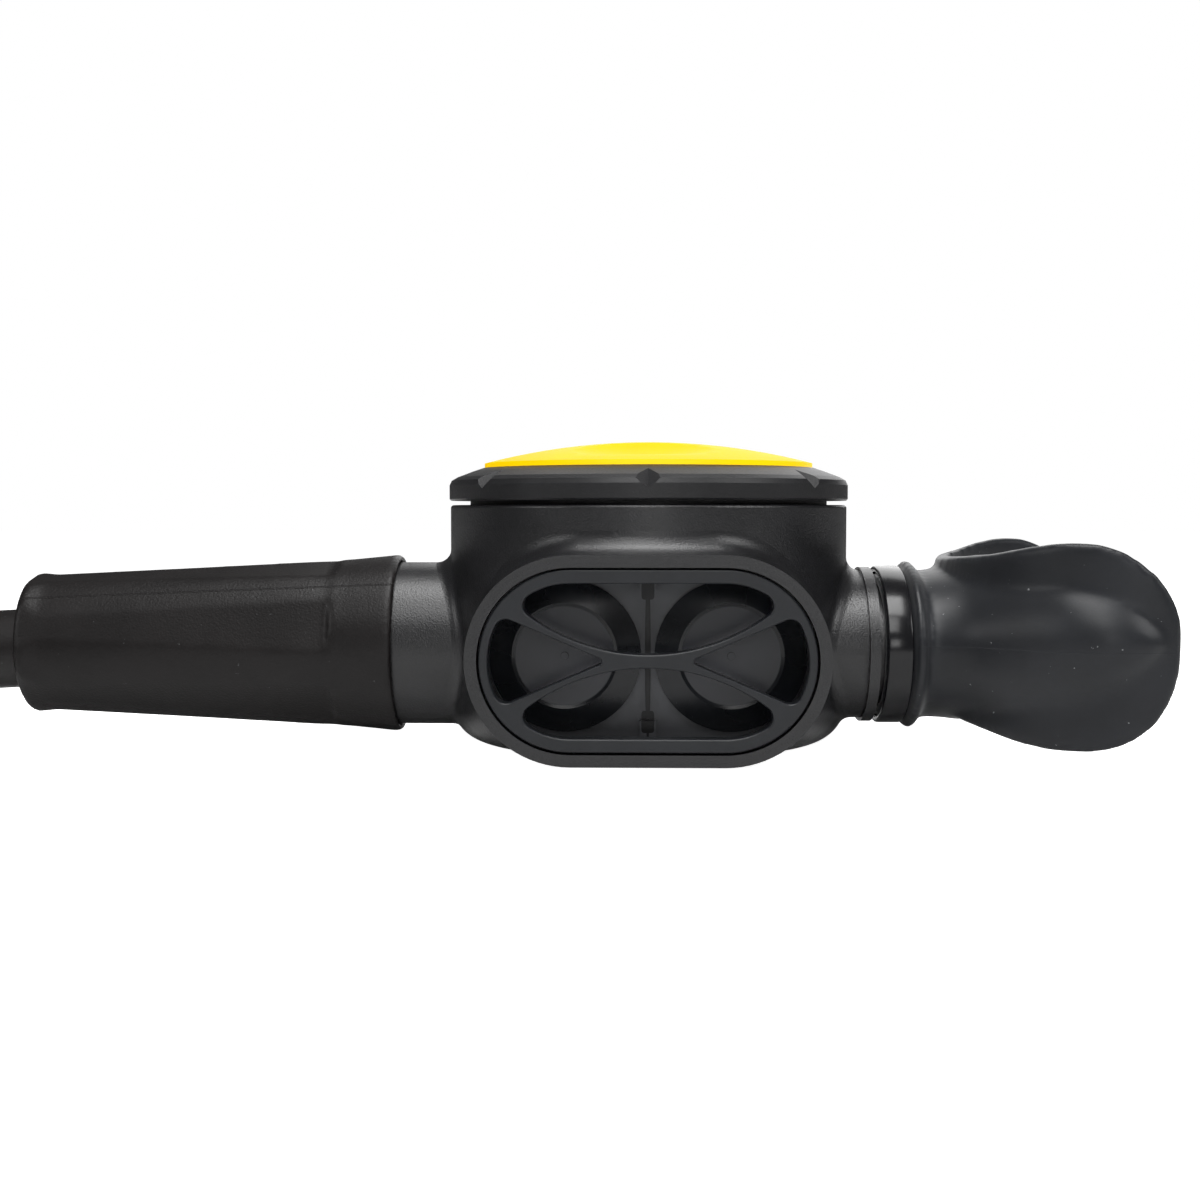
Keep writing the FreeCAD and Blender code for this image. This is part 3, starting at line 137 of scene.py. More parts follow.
class Graph:
    """A node tree to which nodes are added."""

    def __init__(self, owner: bpy.types.Material | bpy.types.World) -> None:
        """Empty the node tree of a material or world.

        Args:
            owner: what the tree belongs to.
        """
        owner.use_nodes = True
        self.owner = owner
        self.tree = owner.node_tree
        self.tree.nodes.clear()

    @classmethod
    def of_material(cls, name: str) -> "Graph":
        """Start a new material."""
        return cls(bpy.data.materials.new(name))

    def node(self, kind: str, settings: dict[str, object], inputs: dict[object, object],
             output: object = 0) -> Value | None:
        """Add one node.

        Args:
            kind: the node's type.
            settings: properties that are set before the sockets.
            inputs: socket name or number to a value or a link.
            output: socket that is returned, or None for a node that ends the tree.

        Returns:
            The chosen output, if any.
        """
        made = self.tree.nodes.new(kind)
        for key, setting in settings.items():
            setattr(made, key, setting)
        for key, value in inputs.items():
            if isinstance(value, Value):
                self.tree.links.new(value.socket, made.inputs[key])
            else:
                made.inputs[key].default_value = value
        return None if output is None else Value(self, made.outputs[output])

    def place(self) -> Value:
        """Give the place on the object, in its own coordinates."""
        return self.node("ShaderNodeTexCoord", {}, {}, "Object")

    def noise(self, scale: float, detail: float = 2.0) -> Value:
        """Give a noise pattern on the object's own coordinates."""
        return self.node("ShaderNodeTexNoise", {}, {
            "Vector": self.place(), "Scale": scale, "Detail": detail})

    def blend(self, factor: object, first: object, second: object) -> Value:
        """Mix two colours."""
        return self.node("ShaderNodeMix", {"data_type": "RGBA"}, {
            0: factor, 6: _rgba(first), 7: _rgba(second)}, 2)

    def along(self, axis: str) -> Value:
        """Give one coordinate of the place on the object."""
        return self.node("ShaderNodeSeparateXYZ", {}, {0: self.place()}, axis)

    def ray(self, kind: str) -> Value:
        """Give 1 for one kind of ray, such as Is Camera Ray, and 0 for the others."""
        return self.node("ShaderNodeLightPath", {}, {}, kind)

    def white_rays(self) -> Value:
        """Give 1 for the rays that show the white background: camera and see-through rays."""
        return self.ray("Is Camera Ray").at_least(self.ray("Is Transmission Ray"))

    def finish_with(self, kind: str, surface: Value) -> None:
        """Lead a shader to the tree's output, a material's or a world's."""
        self.node(kind, {}, {"Surface": surface}, None)


def _rgba(value: object) -> object:
    """Give a colour its alpha; a link stays as it is."""
    return value if isinstance(value, Value) else (*value, 1.0)


# --- finishes -------------------------------------------------------------------

@dataclass(frozen=True)
class Patch:
    """A patch of painted light or shade on faces seen along Y, oval or with nearly square corners.
    """

    x: float
    z: float
    half_width: float
    half_height: float
    colour: Colour
    square: bool = False

    def mask(self, graph: Graph) -> Value:
        """Give 1 on the patch and 0 off it, with a narrow soft edge.

        Args:
            graph: the material's graph.

        Returns:
            The mask.
        """
        edge_from, edge_to = 0.94, 1.04
        across = (graph.along("X") - self.x) * (1 / self.half_width)
        up = (graph.along("Z") - self.z) * (1 / self.half_height)
        wide, tall = across * across, up * up
        if self.square:
            wide, tall = wide * wide * wide, tall * tall * tall
        return 1.0 - (wide + tall).above(edge_from, edge_to)


@dataclass(frozen=True)
class Finish:
    """A moulded, rubber or metal surface.

    Grain is the fine relief of a moulded face, cloud the slow change of tone over it, dust the
    pale specks that stick to soft rubber, and scuff how far the gloss wanders over the face.
    The painted light patches lay painted highlights and painted shade over the colour.
    """

    name: str
    colour: Colour
    roughness: float
    metallic: float = 0.0
    grain_size: float = 0.35 * MM
    grain_depth: float = 0.02 * MM
    cloud: float = 0.15
    cloud_size: float = 9 * MM
    dust: float = 0.0
    dust_size: float = 0.9 * MM
    scuff: float = 0.06
    sheen: float = 0.0
    specular: float = 0.32
    seam_height: float | None = None
    seam_slope: float = 0.0
    seam_edge: tuple[float, float] = (0.03 * MM, 0.13 * MM)
    seam_rise: float = 2.0
    # Painted highlights and painted shade, laid over the colour.
    painted_light_patches: tuple[Patch, ...] = ()
    dust_colour: Colour = (0.30, 0.31, 0.32)
    dust_step: tuple[float, float] = (0.72, 0.76)
    cloud_step: tuple[float, float] = (0.3, 0.7)

    def build(self) -> bpy.types.Material:
        """Make the material."""
        graph = Graph.of_material(self.name)
        darker = tuple(channel * (1 - self.cloud) for channel in self.colour)
        lighter = tuple(min(1.0, channel * (1 + self.cloud)) for channel in self.colour)
        cloud = graph.noise(1 / self.cloud_size, 3.0)
        colour = graph.blend(cloud.above(*self.cloud_step), darker, lighter)
        grain = graph.noise(1 / self.grain_size, 2.0)
        if self.dust:
            speck = graph.noise(1 / self.dust_size, 4.0).above(*self.dust_step) * self.dust
            colour = graph.blend(speck, colour, self.dust_colour)
        # Lay the painted highlights and painted shade over the colour.
        for patch in self.painted_light_patches:
            colour = graph.blend(patch.mask(graph), colour, patch.colour)
        height = grain
        if self.seam_height is not None:
            height = height + self._seam(graph)
        rough = self.roughness + (cloud - 0.5) * self.scuff + (grain - 0.5) * (2 * self.scuff)
        normal = graph.node("ShaderNodeBump", {}, {
            "Strength": 1.0, "Distance": self.grain_depth, "Height": height}, "Normal")
        surface = graph.node("ShaderNodeBsdfPrincipled", {}, {
            "Base Color": colour, "Roughness": rough, "Metallic": self.metallic, "Normal": normal,
            "Sheen Weight": self.sheen, "Specular IOR Level": self.specular})
        graph.finish_with("ShaderNodeOutputMaterial", surface)
        return graph.owner

    def _seam(self, graph: Graph) -> Value:
        """Raise a thin line where the two halves of the mould met."""
        offset = graph.along("Z") - self.seam_height - graph.along("X") * self.seam_slope
        return self.seam_rise * (1.0 - offset.size().above(*self.seam_edge))


# Painted shade: the near-black of the plate's uncut slit and of its clips.
PAINTED_GAP_SHADE: Colour = (0.004, 0.004, 0.005)
# Lighter tone on the valves' flat discs: a painted highlight where they face the front light.
PAINTED_DISC_HIGHLIGHTS = tuple(
    Patch(side * 12.2 * MM, AXIS_HEIGHT, 7.3 * MM, 7.3 * MM, (0.034, 0.035, 0.040))
    for side in (-1, 1))
# Painted shade in the valve plate's slit and over its two clips.
PAINTED_SLIT_SHADE = Patch(0.0, AXIS_HEIGHT, 0.42 * MM, 12.5 * MM, PAINTED_GAP_SHADE)
PAINTED_CLIP_SHADE = tuple(
    Patch(0.0, AXIS_HEIGHT + side * 9.7 * MM, 0.95 * MM, 1.5 * MM, PAINTED_GAP_SHADE, square=True)
    for side in (-1, 1))


class Look(Enum):
    """The finishes of the object's pieces."""

    CASE = Finish(
        "black_nylon", (0.0070, 0.0070, 0.0080), 0.34, grain_size=0.28 * MM,
        grain_depth=0.05 * MM, specular=0.5)
    RING = Finish(
        "ring_nylon", (0.011, 0.011, 0.012), 0.42, grain_size=0.30 * MM, grain_depth=0.03 * MM)
    GRILLE = Finish(
        "satin_nylon", (0.010, 0.011, 0.013), 0.36, grain_depth=0.012 * MM)
    # The plate carries painted shade in its slit and over its clips.
    PLATE = Finish(
        "plate_nylon", (0.062, 0.064, 0.070), 0.34, grain_depth=0.012 * MM,
        painted_light_patches=(PAINTED_SLIT_SHADE, *PAINTED_CLIP_SHADE))
    # The valves carry a painted highlight on their flat discs.
    VALVE = Finish(
        "valve_silicone", (0.008, 0.009, 0.011), 0.24, grain_depth=0.003 * MM, cloud=0.25,
        scuff=0.05, painted_light_patches=PAINTED_DISC_HIGHLIGHTS)
    COVER = Finish(
        "yellow_urethane", (0.74, 0.465, 0.0), 0.50, cloud=0.02, grain_depth=0.004 * MM,
        specular=0.06)
    MOUTH = Finish(
        "charcoal_silicone", (0.0085, 0.0094, 0.0118), 0.40, grain_depth=0.008 * MM, dust=0.45,
        specular=0.27, sheen=0.10, seam_height=16.0 * MM)
    BAND = Finish(
        "gloss_nylon", (0.006, 0.006, 0.007), 0.20, grain_depth=0.003 * MM, scuff=0.05)
    SLEEVE = Finish(
        "matte_rubber", (0.0068, 0.0058, 0.0058), 0.42, grain_size=0.35 * MM, specular=0.22,
        grain_depth=0.05 * MM, dust=0.12, seam_height=26.6 * MM, seam_slope=0.0405)
    HOSE = Finish(
        "hose_rubber", (0.0085, 0.0072, 0.0072), 0.40, grain_depth=0.010 * MM, dust=0.12)
    CHROME = Finish(
        "chromed_brass", (0.80, 0.80, 0.81), 0.12, metallic=1.0, grain_depth=0.001 * MM,
        cloud=0.03)
    STEEL = Finish(
        "stainless", (0.62, 0.62, 0.63), 0.28, metallic=1.0, grain_depth=0.002 * MM, cloud=0.05)
    SEAL = Finish(
        "seal_rubber", (0.020, 0.020, 0.020), 0.40, grain_depth=0.004 * MM)
    ACETAL = Finish(
        "acetal", (0.72, 0.72, 0.69), 0.40, cloud=0.04, grain_depth=0.004 * MM)
    MEMBRANE = Finish(
        "membrane_silicone", (0.42, 0.44, 0.45), 0.35, cloud=0.06, grain_depth=0.004 * MM)
    TIE = Finish(
        "hook_and_loop", (0.020, 0.020, 0.023), 0.85, grain_size=0.5 * MM, grain_depth=0.25 * MM,
        cloud=0.3)


LOOK_NODES: dict[Look, tuple[str, ...]] = {
    Look.CASE: ("case",),
    Look.RING: ("cover_ring",),
    Look.GRILLE: ("exhaust_grille",),
    Look.PLATE: ("valve_plate",),
    Look.VALVE: ("exhaust_valve_left", "exhaust_valve_right"),
    Look.COVER: ("purge_cover",),
    Look.MOUTH: ("mouthpiece",),
    Look.BAND: ("mouthpiece_band", "band_latch"),
    Look.SLEEVE: ("hose_sleeve",),
    Look.HOSE: ("hose", "hose_coil"),
    Look.TIE: ("coil_tie",),
    Look.ACETAL: ("ring_washer", "poppet"),
    Look.MEMBRANE: ("diaphragm",),
    Look.STEEL: (
        "diaphragm_disc", "purge_spring", "orifice", "lever_pin", "poppet_spring", "lever",
        "lever_washer", "poppet_locknut"),
    Look.CHROME: (
        "inlet_fitting", "barrel_nut", "valve_barrel", "hose_stem", "swivel_nut", "hose_ferrule",
        "far_ferrule", "first_stage_fitting"),
    Look.SEAL: ("orifice_seal", "barrel_seal", "stem_seal", "fitting_seal", "poppet_seat"),
}
NODE_LOOKS: dict[str, Look] = {
    node: look for look, nodes in LOOK_NODES.items() for node in nodes}


class Shop:
    """Holds the CAD nodes, hands out each finish's material and hands pieces over."""

    def __init__(self, nodes: dict[str, bpy.types.Object]) -> None:
        """Start with no material made.

        Args:
            nodes: the CAD nodes by name.
        """
        self.nodes = nodes
        self._made: dict[Look, bpy.types.Material] = {}

    def material(self, look: Look) -> bpy.types.Material:
        """Give a finish's material, made once."""
        if look not in self._made:
            self._made[look] = look.value.build()
        return self._made[look]

    def dress(self, piece: bpy.types.Object, look: Look) -> None:
        """Put one finish all over a piece."""
        piece.data.materials.clear()
        piece.data.materials.append(self.material(look))

    def dress_nodes(self) -> None:
        """Give every CAD node its finish."""
        for node, look in NODE_LOOKS.items():
            self.dress(self.nodes[node], look)
            LOG.info("node %s: %s", node, look.name.lower())

    def hand_over(self, piece: bpy.types.Object, body: str, node: str) -> bpy.types.Object:
        """Dress a new piece as the CAD node that it stands for and let it ride on a body.

        Args:
            piece: the finished mesh.
            body: the body that it moves with.
            node: the CAD node that it replaces.

        Returns:
            The same piece.
        """
        self.dress(piece, NODE_LOOKS[node])
        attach(piece, body)
        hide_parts(node)
        return piece

    def copy_of_node(self, node: str, name: str) -> bpy.types.Object:
        """Copy a CAD node's mesh with its loose triangles merged.

        Args:
            node: the CAD node.
            name: the new piece's name.

        Returns:
            The new piece.
        """
        piece = bpy.data.objects.new(name, self.nodes[node].data.copy())
        bpy.context.collection.objects.link(piece)
        make_active(piece)
        bpy.ops.object.mode_set(mode="EDIT")
        bpy.ops.mesh.select_all(action="SELECT")
        bpy.ops.mesh.remove_doubles(threshold=0.002 * MM)
        bpy.ops.object.mode_set(mode="OBJECT")
        return piece


@dataclass(frozen=True)
class Section:
    """An oval section of a loft along X."""

    x: float
    z: float
    half_depth: float
    half_height: float


# --- mesh helpers -----------------------------------------------------------------

def clear_selection() -> None:
    """Deselect every object."""
    bpy.ops.object.select_all(action="DESELECT")


def make_active(piece: bpy.types.Object) -> None:
    """Select one piece alone and make it the active one."""
    clear_selection()
    piece.select_set(True)
    bpy.context.view_layer.objects.active = piece


def apply_modifier(piece: bpy.types.Object, kind: str, **settings: object) -> None:
    """Add a modifier with its settings and apply it.

    Args:
        piece: the mesh object.
        kind: the modifier's type.
        settings: the modifier's properties.
    """
    make_active(piece)
    modifier = piece.modifiers.new(kind.lower(), kind)
    for key, value in settings.items():
        setattr(modifier, key, value)
    bpy.ops.object.modifier_apply(modifier=modifier.name)


def select_corners(piece: bpy.types.Object, wanted: Callable[[Vector], bool]) -> None:
    """Select a mesh's corners by their place, and stay in edit mode.

    Args:
        piece: the mesh object.
        wanted: tells of a corner's place whether it is selected.
    """
    make_active(piece)
    bpy.ops.object.mode_set(mode="EDIT")
    bpy.ops.mesh.select_all(action="DESELECT")
    bpy.ops.object.mode_set(mode="OBJECT")
    for corner in piece.data.vertices:
        corner.select = wanted(corner.co)
    bpy.ops.object.mode_set(mode="EDIT")


def melt(piece: bpy.types.Object, voxel: float, rounds: int) -> None:
    """Make one even skin of a mesh and round its edges.

    Args:
        piece: the mesh object.
        voxel: width of the skin's faces.
        rounds: how many times the skin is smoothed.
    """
    apply_modifier(piece, "REMESH", mode="VOXEL", voxel_size=voxel)
    apply_modifier(piece, "SMOOTH", factor=0.5, iterations=rounds)
    make_active(piece)
    bpy.ops.object.shade_smooth()


def smooth_by_angle(piece: bpy.types.Object, degrees: float) -> None:
    """Shade a piece smooth but for edges sharper than an angle."""
    make_active(piece)
    bpy.ops.object.shade_smooth_by_angle(angle=math.radians(degrees))


def combine(piece: bpy.types.Object, other: bpy.types.Object, operation: str) -> None:
    """Apply a Boolean with another mesh, which is then removed.

    Args:
        piece: the mesh that stays.
        other: the mesh that is used up.
        operation: UNION, DIFFERENCE or INTERSECT.
    """
    apply_modifier(piece, "BOOLEAN", object=other, operation=operation, solver="EXACT")
    bpy.data.objects.remove(other, do_unlink=True)


def subtract(piece: bpy.types.Object, other: bpy.types.Object) -> None:
    """Cut one mesh out of another."""
    combine(piece, other, "DIFFERENCE")


def intersect(piece: bpy.types.Object, other: bpy.types.Object) -> None:
    """Keep what two meshes share."""
    combine(piece, other, "INTERSECT")


def join_with(piece: bpy.types.Object, other: bpy.types.Object) -> None:
    """Unite two meshes."""
    combine(piece, other, "UNION")


def block(name: str, middle: Point, size: Point) -> bpy.types.Object:
    """Make a box, its place in its mesh.

    Args:
        name: the box's name.
        middle: its centre.
        size: its three sides.

    Returns:
        The box.
    """
    clear_selection()
    bpy.ops.mesh.primitive_cube_add(size=1.0, location=middle)
    made = bpy.context.active_object
    made.name = name
    made.scale = size
    bpy.ops.object.transform_apply(location=True, rotation=True, scale=True)
    return made


def loft(name: str, sections: Sequence[Section], around: int = 96) -> bpy.types.Object:
    """Extrude an oval along X from section to section.

    Args:
        name: the new piece's name.
        sections: the ovals, in order.
        around: points on each oval.

    Returns:
        The closed loft.
    """
    first = sections[0]
    clear_selection()
    bpy.ops.mesh.primitive_circle_add(
        vertices=around, radius=1.0, fill_type="NGON", location=(first.x, 0, first.z),
        rotation=(0, math.radians(90), 0))
    made = bpy.context.active_object
    made.name = name
    made.scale = (first.half_height, first.half_depth, 1.0)
    bpy.ops.object.transform_apply(location=True, rotation=True, scale=True)
    bpy.ops.object.mode_set(mode="EDIT")
    bpy.ops.mesh.select_all(action="SELECT")
    for before, after in zip(sections, sections[1:]):
        bpy.ops.mesh.extrude_region_move(
            TRANSFORM_OT_translate={"value": (after.x - before.x, 0, after.z - before.z)})
        bpy.ops.transform.resize(
            value=(1.0, after.half_depth / before.half_depth,
                   after.half_height / before.half_height),
            center_override=(after.x, 0, after.z))
    bpy.ops.mesh.select_all(action="SELECT")
    bpy.ops.mesh.normals_make_consistent(inside=False)
    bpy.ops.object.mode_set(mode="OBJECT")
    return made


def flowing(sections: Sequence[Section], firm: int, steps: int) -> list[Section]:
    """Set smoothly changing sections between those of a loft.

    Args:
        sections: the chosen sections, in order.
        firm: how many of the first sections stay as they are, with nothing between.
        steps: parts that each later gap is split into.

    Returns:
        All sections.
    """
    made = list(sections[:firm])
    for number in range(firm, len(sections)):
        around = [sections[min(max(number + shift, firm - 1), len(sections) - 1)]
                  for shift in (-2, -1, 0, 1)]
        for step in range(1, steps + 1):
            share = step / steps
            made.append(Section(*(
                spline_value([getattr(section, name) for section in around], share)
                for name in ("x", "z", "half_depth", "half_height"))))
    return made


def spline_value(values: Sequence[float], share: float) -> float:
    """Give a smooth value between the middle two of four."""
    before, first, last, after = values
    slope_in, slope_out = (last - before) / 2, (after - first) / 2
    square, cube = share ** 2, share ** 3
    return ((2 * cube - 3 * square + 1) * first + (cube - 2 * square + share) * slope_in
            + (3 * square - 2 * cube) * last + (cube - square) * slope_out)


def flat_outline(name: str, corners: Sequence[tuple[float, float]],
                 deep: float) -> bpy.types.Object:
    """Make an upright plate from a smooth outline in X and Z.

    Args:
        name: the new piece's name.
        corners: points of the outline in millimetres, in order.
        deep: the plate's depth along Y.

    Returns:
        The plate.
    """
    curve = bpy.data.curves.new(name, "CURVE")
    curve.dimensions = "2D"
    curve.fill_mode = "BOTH"
    curve.extrude = deep / 2
    curve.resolution_u = 8
    line = curve.splines.new("BEZIER")
    line.bezier_points.add(len(corners) - 1)
    for spot, (x, z) in zip(line.bezier_points, corners):
        spot.co = (x * MM, z * MM, 0.0)
        spot.handle_left_type = spot.handle_right_type = "AUTO"
    line.use_cyclic_u = True
    plate = bpy.data.objects.new(name, curve)
    plate.rotation_euler = (math.radians(90), 0.0, 0.0)
    bpy.context.collection.objects.link(plate)
    make_active(plate)
    bpy.ops.object.convert(target="MESH")
    bpy.ops.object.transform_apply(location=True, rotation=True, scale=True)
    bpy.ops.object.mode_set(mode="EDIT")
    bpy.ops.mesh.select_all(action="SELECT")
    bpy.ops.mesh.remove_doubles(threshold=0.001 * MM)
    bpy.ops.mesh.normals_make_consistent(inside=False)
    bpy.ops.object.mode_set(mode="OBJECT")
    return bpy.context.active_object


# --- purge cover ------------------------------------------------------------------

@dataclass
class PurgeCover:
    """The domed button with the shallow dish for a thumb at its front."""

    shop: Shop
    apex: float = 47.3 * MM
    ball: float = 101.9 * MM
    dish_across: float = -1.0 * MM
    dish_out: float = 18.8 * MM
    dish_depth: float = 1.3 * MM
    dish_radius: float = 24.0 * MM
    dish_stretch: float = 1.6
    edge_angle: float = 25.0

    def build(self) -> bpy.types.Object:
        """Copy the dome, press the dish into it and dress it."""
        cover = self.shop.copy_of_node("purge_cover", "button")
        floor = self.apex - self.dish_out ** 2 / (2 * self.ball) - self.dish_depth
        clear_selection()
        bpy.ops.mesh.primitive_uv_sphere_add(
            segments=128, ring_count=96, radius=self.dish_radius,
            location=(self.dish_across, -self.dish_out, floor + self.dish_radius))
        ball = bpy.context.active_object
        ball.scale = (self.dish_stretch, 1.0, 1.0)
        bpy.ops.object.transform_apply(location=True, rotation=True, scale=True)
        subtract(cover, ball)
        smooth_by_angle(cover, self.edge_angle)
        return self.shop.hand_over(cover, "purge_cover", "purge_cover")


# --- sleeve -----------------------------------------------------------------------

@dataclass
class Sleeve:
    """The rubber sleeve over the swivel, its moulded flats soft at their edges."""

    shop: Shop
    voxel: float = 0.45 * MM
    rounds: int = 8
    stretch_from: float = -60.0 * MM
    stretch: float = 1.06
    height: float = AXIS_HEIGHT
    flat_ends: tuple[float, float] = (-53.0 * MM, -50.0 * MM)
    flat_shift: float = 2.0 * MM
    outside: float = 11.2 * MM

    def build(self) -> bpy.types.Object:
        """Copy the sleeve, draw out its narrow end, soften it and dress it."""
        sleeve = self.shop.copy_of_node("hose_sleeve", "sleeve")
        select_corners(sleeve, lambda place: place.x < self.stretch_from)
        bpy.ops.transform.resize(
            value=(self.stretch, 1, 1), center_override=(self.stretch_from, 0, 0))
        bpy.ops.object.mode_set(mode="OBJECT")
        select_corners(sleeve, self._ends_flat)
        bpy.ops.transform.translate(value=(self.flat_shift, 0, 0))
        bpy.ops.object.mode_set(mode="OBJECT")
        melt(sleeve, self.voxel, self.rounds)
        return self.shop.hand_over(sleeve, "hose_sleeve", "hose_sleeve")

    def _ends_flat(self, place: Vector) -> bool:
        """Tell whether a corner lies at the wide end of one of the flats."""
        near, far = self.flat_ends
        return near < place.x < far and abs(place.y) + abs(place.z - self.height) > self.outside


# --- band -------------------------------------------------------------------------

@dataclass
class Band:
    """The moulded strap round the mouthpiece's collar."""

    shop: Shop
    start: float = 36.1 * MM
    width: float = 3.9 * MM
    height: float = AXIS_HEIGHT
    inner: tuple[float, float] = (16.88 * MM, 11.48 * MM)
    thick: float = 1.0 * MM
    edge: float = 0.35 * MM
    bore_past: float = 1.0 * MM
    around: int = 192
    bevel_angle: float = 50.0
    smooth_angle: float = 40.0

    def build(self) -> bpy.types.Object:
        """Model the strap with rounded edges and dress it."""
        strap = loft("strap", self._ends(self.thick, 0.0), self.around)
        subtract(strap, loft("strap_inside", self._ends(0.0, self.bore_past), self.around))
        apply_modifier(strap, "BEVEL", width=self.edge, segments=3,
                       angle_limit=math.radians(self.bevel_angle))
        smooth_by_angle(strap, self.smooth_angle)
        return self.shop.hand_over(strap, "second_stage", "mouthpiece_band")

    def _ends(self, wall: float, past: float) -> tuple[Section, ...]:
        """Give both ends of an oval tube round the collar."""
        depth, height = (half + wall for half in self.inner)
        return tuple(Section(x, self.height, depth, height)
                     for x in (self.start - past, self.start + self.width + past))


# --- mouthpiece -------------------------------------------------------------------

@dataclass
class Mouthpiece:
    """The silicone mouthpiece: collar, tube, bulging nose, curved flange and two bite tabs."""

    shop: Shop
    axis_height: float = AXIS_HEIGHT
    wing_centre: float = 76.5 * MM
    wing_long: float = 30.3 * MM
    wing_half: float = 29.6 * MM
    wing_thick: float = 2.2 * MM
    airway: tuple[float, float] = (13.2 * MM, 7.9 * MM)
    spigot: tuple[float, float] = (15.05 * MM, 9.65 * MM)
    spigot_end: float = 43.1 * MM
    bore_start: float = 34.0 * MM
    airway_end: float = 60.0 * MM
    tall: float = 80.0 * MM
    voxel: float = 0.45 * MM
    rounds: int = 24
    firm_sections: int = 5
    fine_steps: int = 5
    tab: tuple[float, float, float] = (14.0 * MM, 9.0 * MM, 3.2 * MM)
    tab_x: float = 67.0 * MM
    tab_rise: float = 1.4 * MM
    tab_sunk: float = 2.0 * MM
    tab_root: float = 0.5 * MM
    lug_x: float = 61.5 * MM
    lug_thick: float = 2.2 * MM
    lug_inward: float = 2.0 * MM
    lug_narrower: float = 1.0 * MM
    lug_taller: float = 7.0 * MM
    nose: tuple[Section, ...] = (
        Section(35.9 * MM, 15.15 * MM, 16.85 * MM, 11.4 * MM),
        Section(40.3 * MM, 15.15 * MM, 16.85 * MM, 11.4 * MM),
        Section(40.5 * MM, 15.15 * MM, 18.80 * MM, 13.3 * MM),
        Section(41.8 * MM, 15.15 * MM, 18.80 * MM, 13.3 * MM),
        Section(42.2 * MM, 15.20 * MM, 17.40 * MM, 11.7 * MM),
        Section(44.0 * MM, 15.30 * MM, 17.60 * MM, 11.7 * MM),
        Section(48.0 * MM, 15.60 * MM, 19.40 * MM, 12.30 * MM),
        Section(52.0 * MM, 15.90 * MM, 22.40 * MM, 14.60 * MM),
        Section(56.0 * MM, 16.20 * MM, 25.60 * MM, 16.40 * MM),
        Section(60.4 * MM, 16.60 * MM, 28.60 * MM, 17.40 * MM),
        Section(65.0 * MM, 16.90 * MM, 30.60 * MM, 16.00 * MM),
        Section(69.0 * MM, 17.10 * MM, 31.00 * MM, 14.20 * MM),
        Section(72.0 * MM, 17.20 * MM, 30.70 * MM, 10.00 * MM),
        Section(73.6 * MM, 17.20 * MM, 30.00 * MM, 6.00 * MM),
    )
    outline: tuple[tuple[float, float], ...] = (
        (42.0, 27.2), (46.5, 29.0), (52.0, 30.0), (57.5, 31.3), (62.5, 31.8), (67.0, 31.0),
        (71.0, 28.7), (74.3, 25.2), (76.2, 20.9), (76.45, 16.7), (76.0, 12.3), (74.2, 7.6),
        (71.3, 4.2), (67.0, 1.9), (62.0, 1.2), (56.5, 1.6), (51.0, 3.2), (46.0, 5.0), (42.0, 6.6),
    )

    def build(self) -> bpy.types.Object:
        """Model the mouthpiece as one soft skin and dress it."""
        mouth = loft("mouthpiece_skin", flowing(self.nose, self.firm_sections, self.fine_steps))
        join_with(mouth, self._wing())
        subtract(mouth, self._plan(-self.wing_thick, "inside"))
        subtract(mouth, loft("airway", self._tunnel(self.airway, self.airway_end)))
        subtract(mouth, loft("socket", self._tunnel(self.spigot, self.spigot_end)))
        for side in (-1, 1):
            join_with(mouth, self._tab(side))
        melt(mouth, self.voxel, self.rounds)
        return self.shop.hand_over(mouth, "second_stage", "mouthpiece")

    def _tunnel(self, half: tuple[float, float], end: float) -> tuple[Section, ...]:
        """Give the two end sections of a straight oval tunnel."""
        return tuple(Section(x, self.axis_height, *half) for x in (self.bore_start, end))

    def _plan(self, change: float, name: str) -> bpy.types.Object:
        """Make an upright drum of the flange's plan, moved in or out by a wall."""
        clear_selection()
        bpy.ops.mesh.primitive_cylinder_add(
            vertices=160, radius=1.0, depth=self.tall,
            location=(self.wing_centre, 0, self.axis_height))
        drum = bpy.context.active_object
        drum.name = name
        drum.scale = (self.wing_long + change, self.wing_half + change, 1.0)
        bpy.ops.object.transform_apply(location=True, rotation=True, scale=True)
        return drum

    def _wing(self) -> bpy.types.Object:
        """Cut the drum of the flange's plan to its side outline; the hollow is cut later."""
        drum = self._plan(0.0, "flange")
        intersect(drum, flat_outline("flange_side", self.outline, self.tall))
        return drum

    def _tab(self, side: int) -> bpy.types.Object:
        """Make one bite tab: a tongue and the lug behind the teeth."""
        length, width, thick = self.tab
        root = self.wing_half - self.wing_thick
        middle = side * (root - width / 2 - self.tab_root)
        height = self.axis_height + self.tab_rise
        tongue = block("tongue", (self.tab_x, middle, height),
                       (length, width + self.tab_sunk, thick))
        lug = block("lug", (self.lug_x, middle - side * self.lug_inward, height),
                    (self.lug_thick, width - self.lug_narrower, thick + self.lug_taller))
        join_with(tongue, lug)
        return tongue


# --- strap on the coil --------------------------------------------------------------

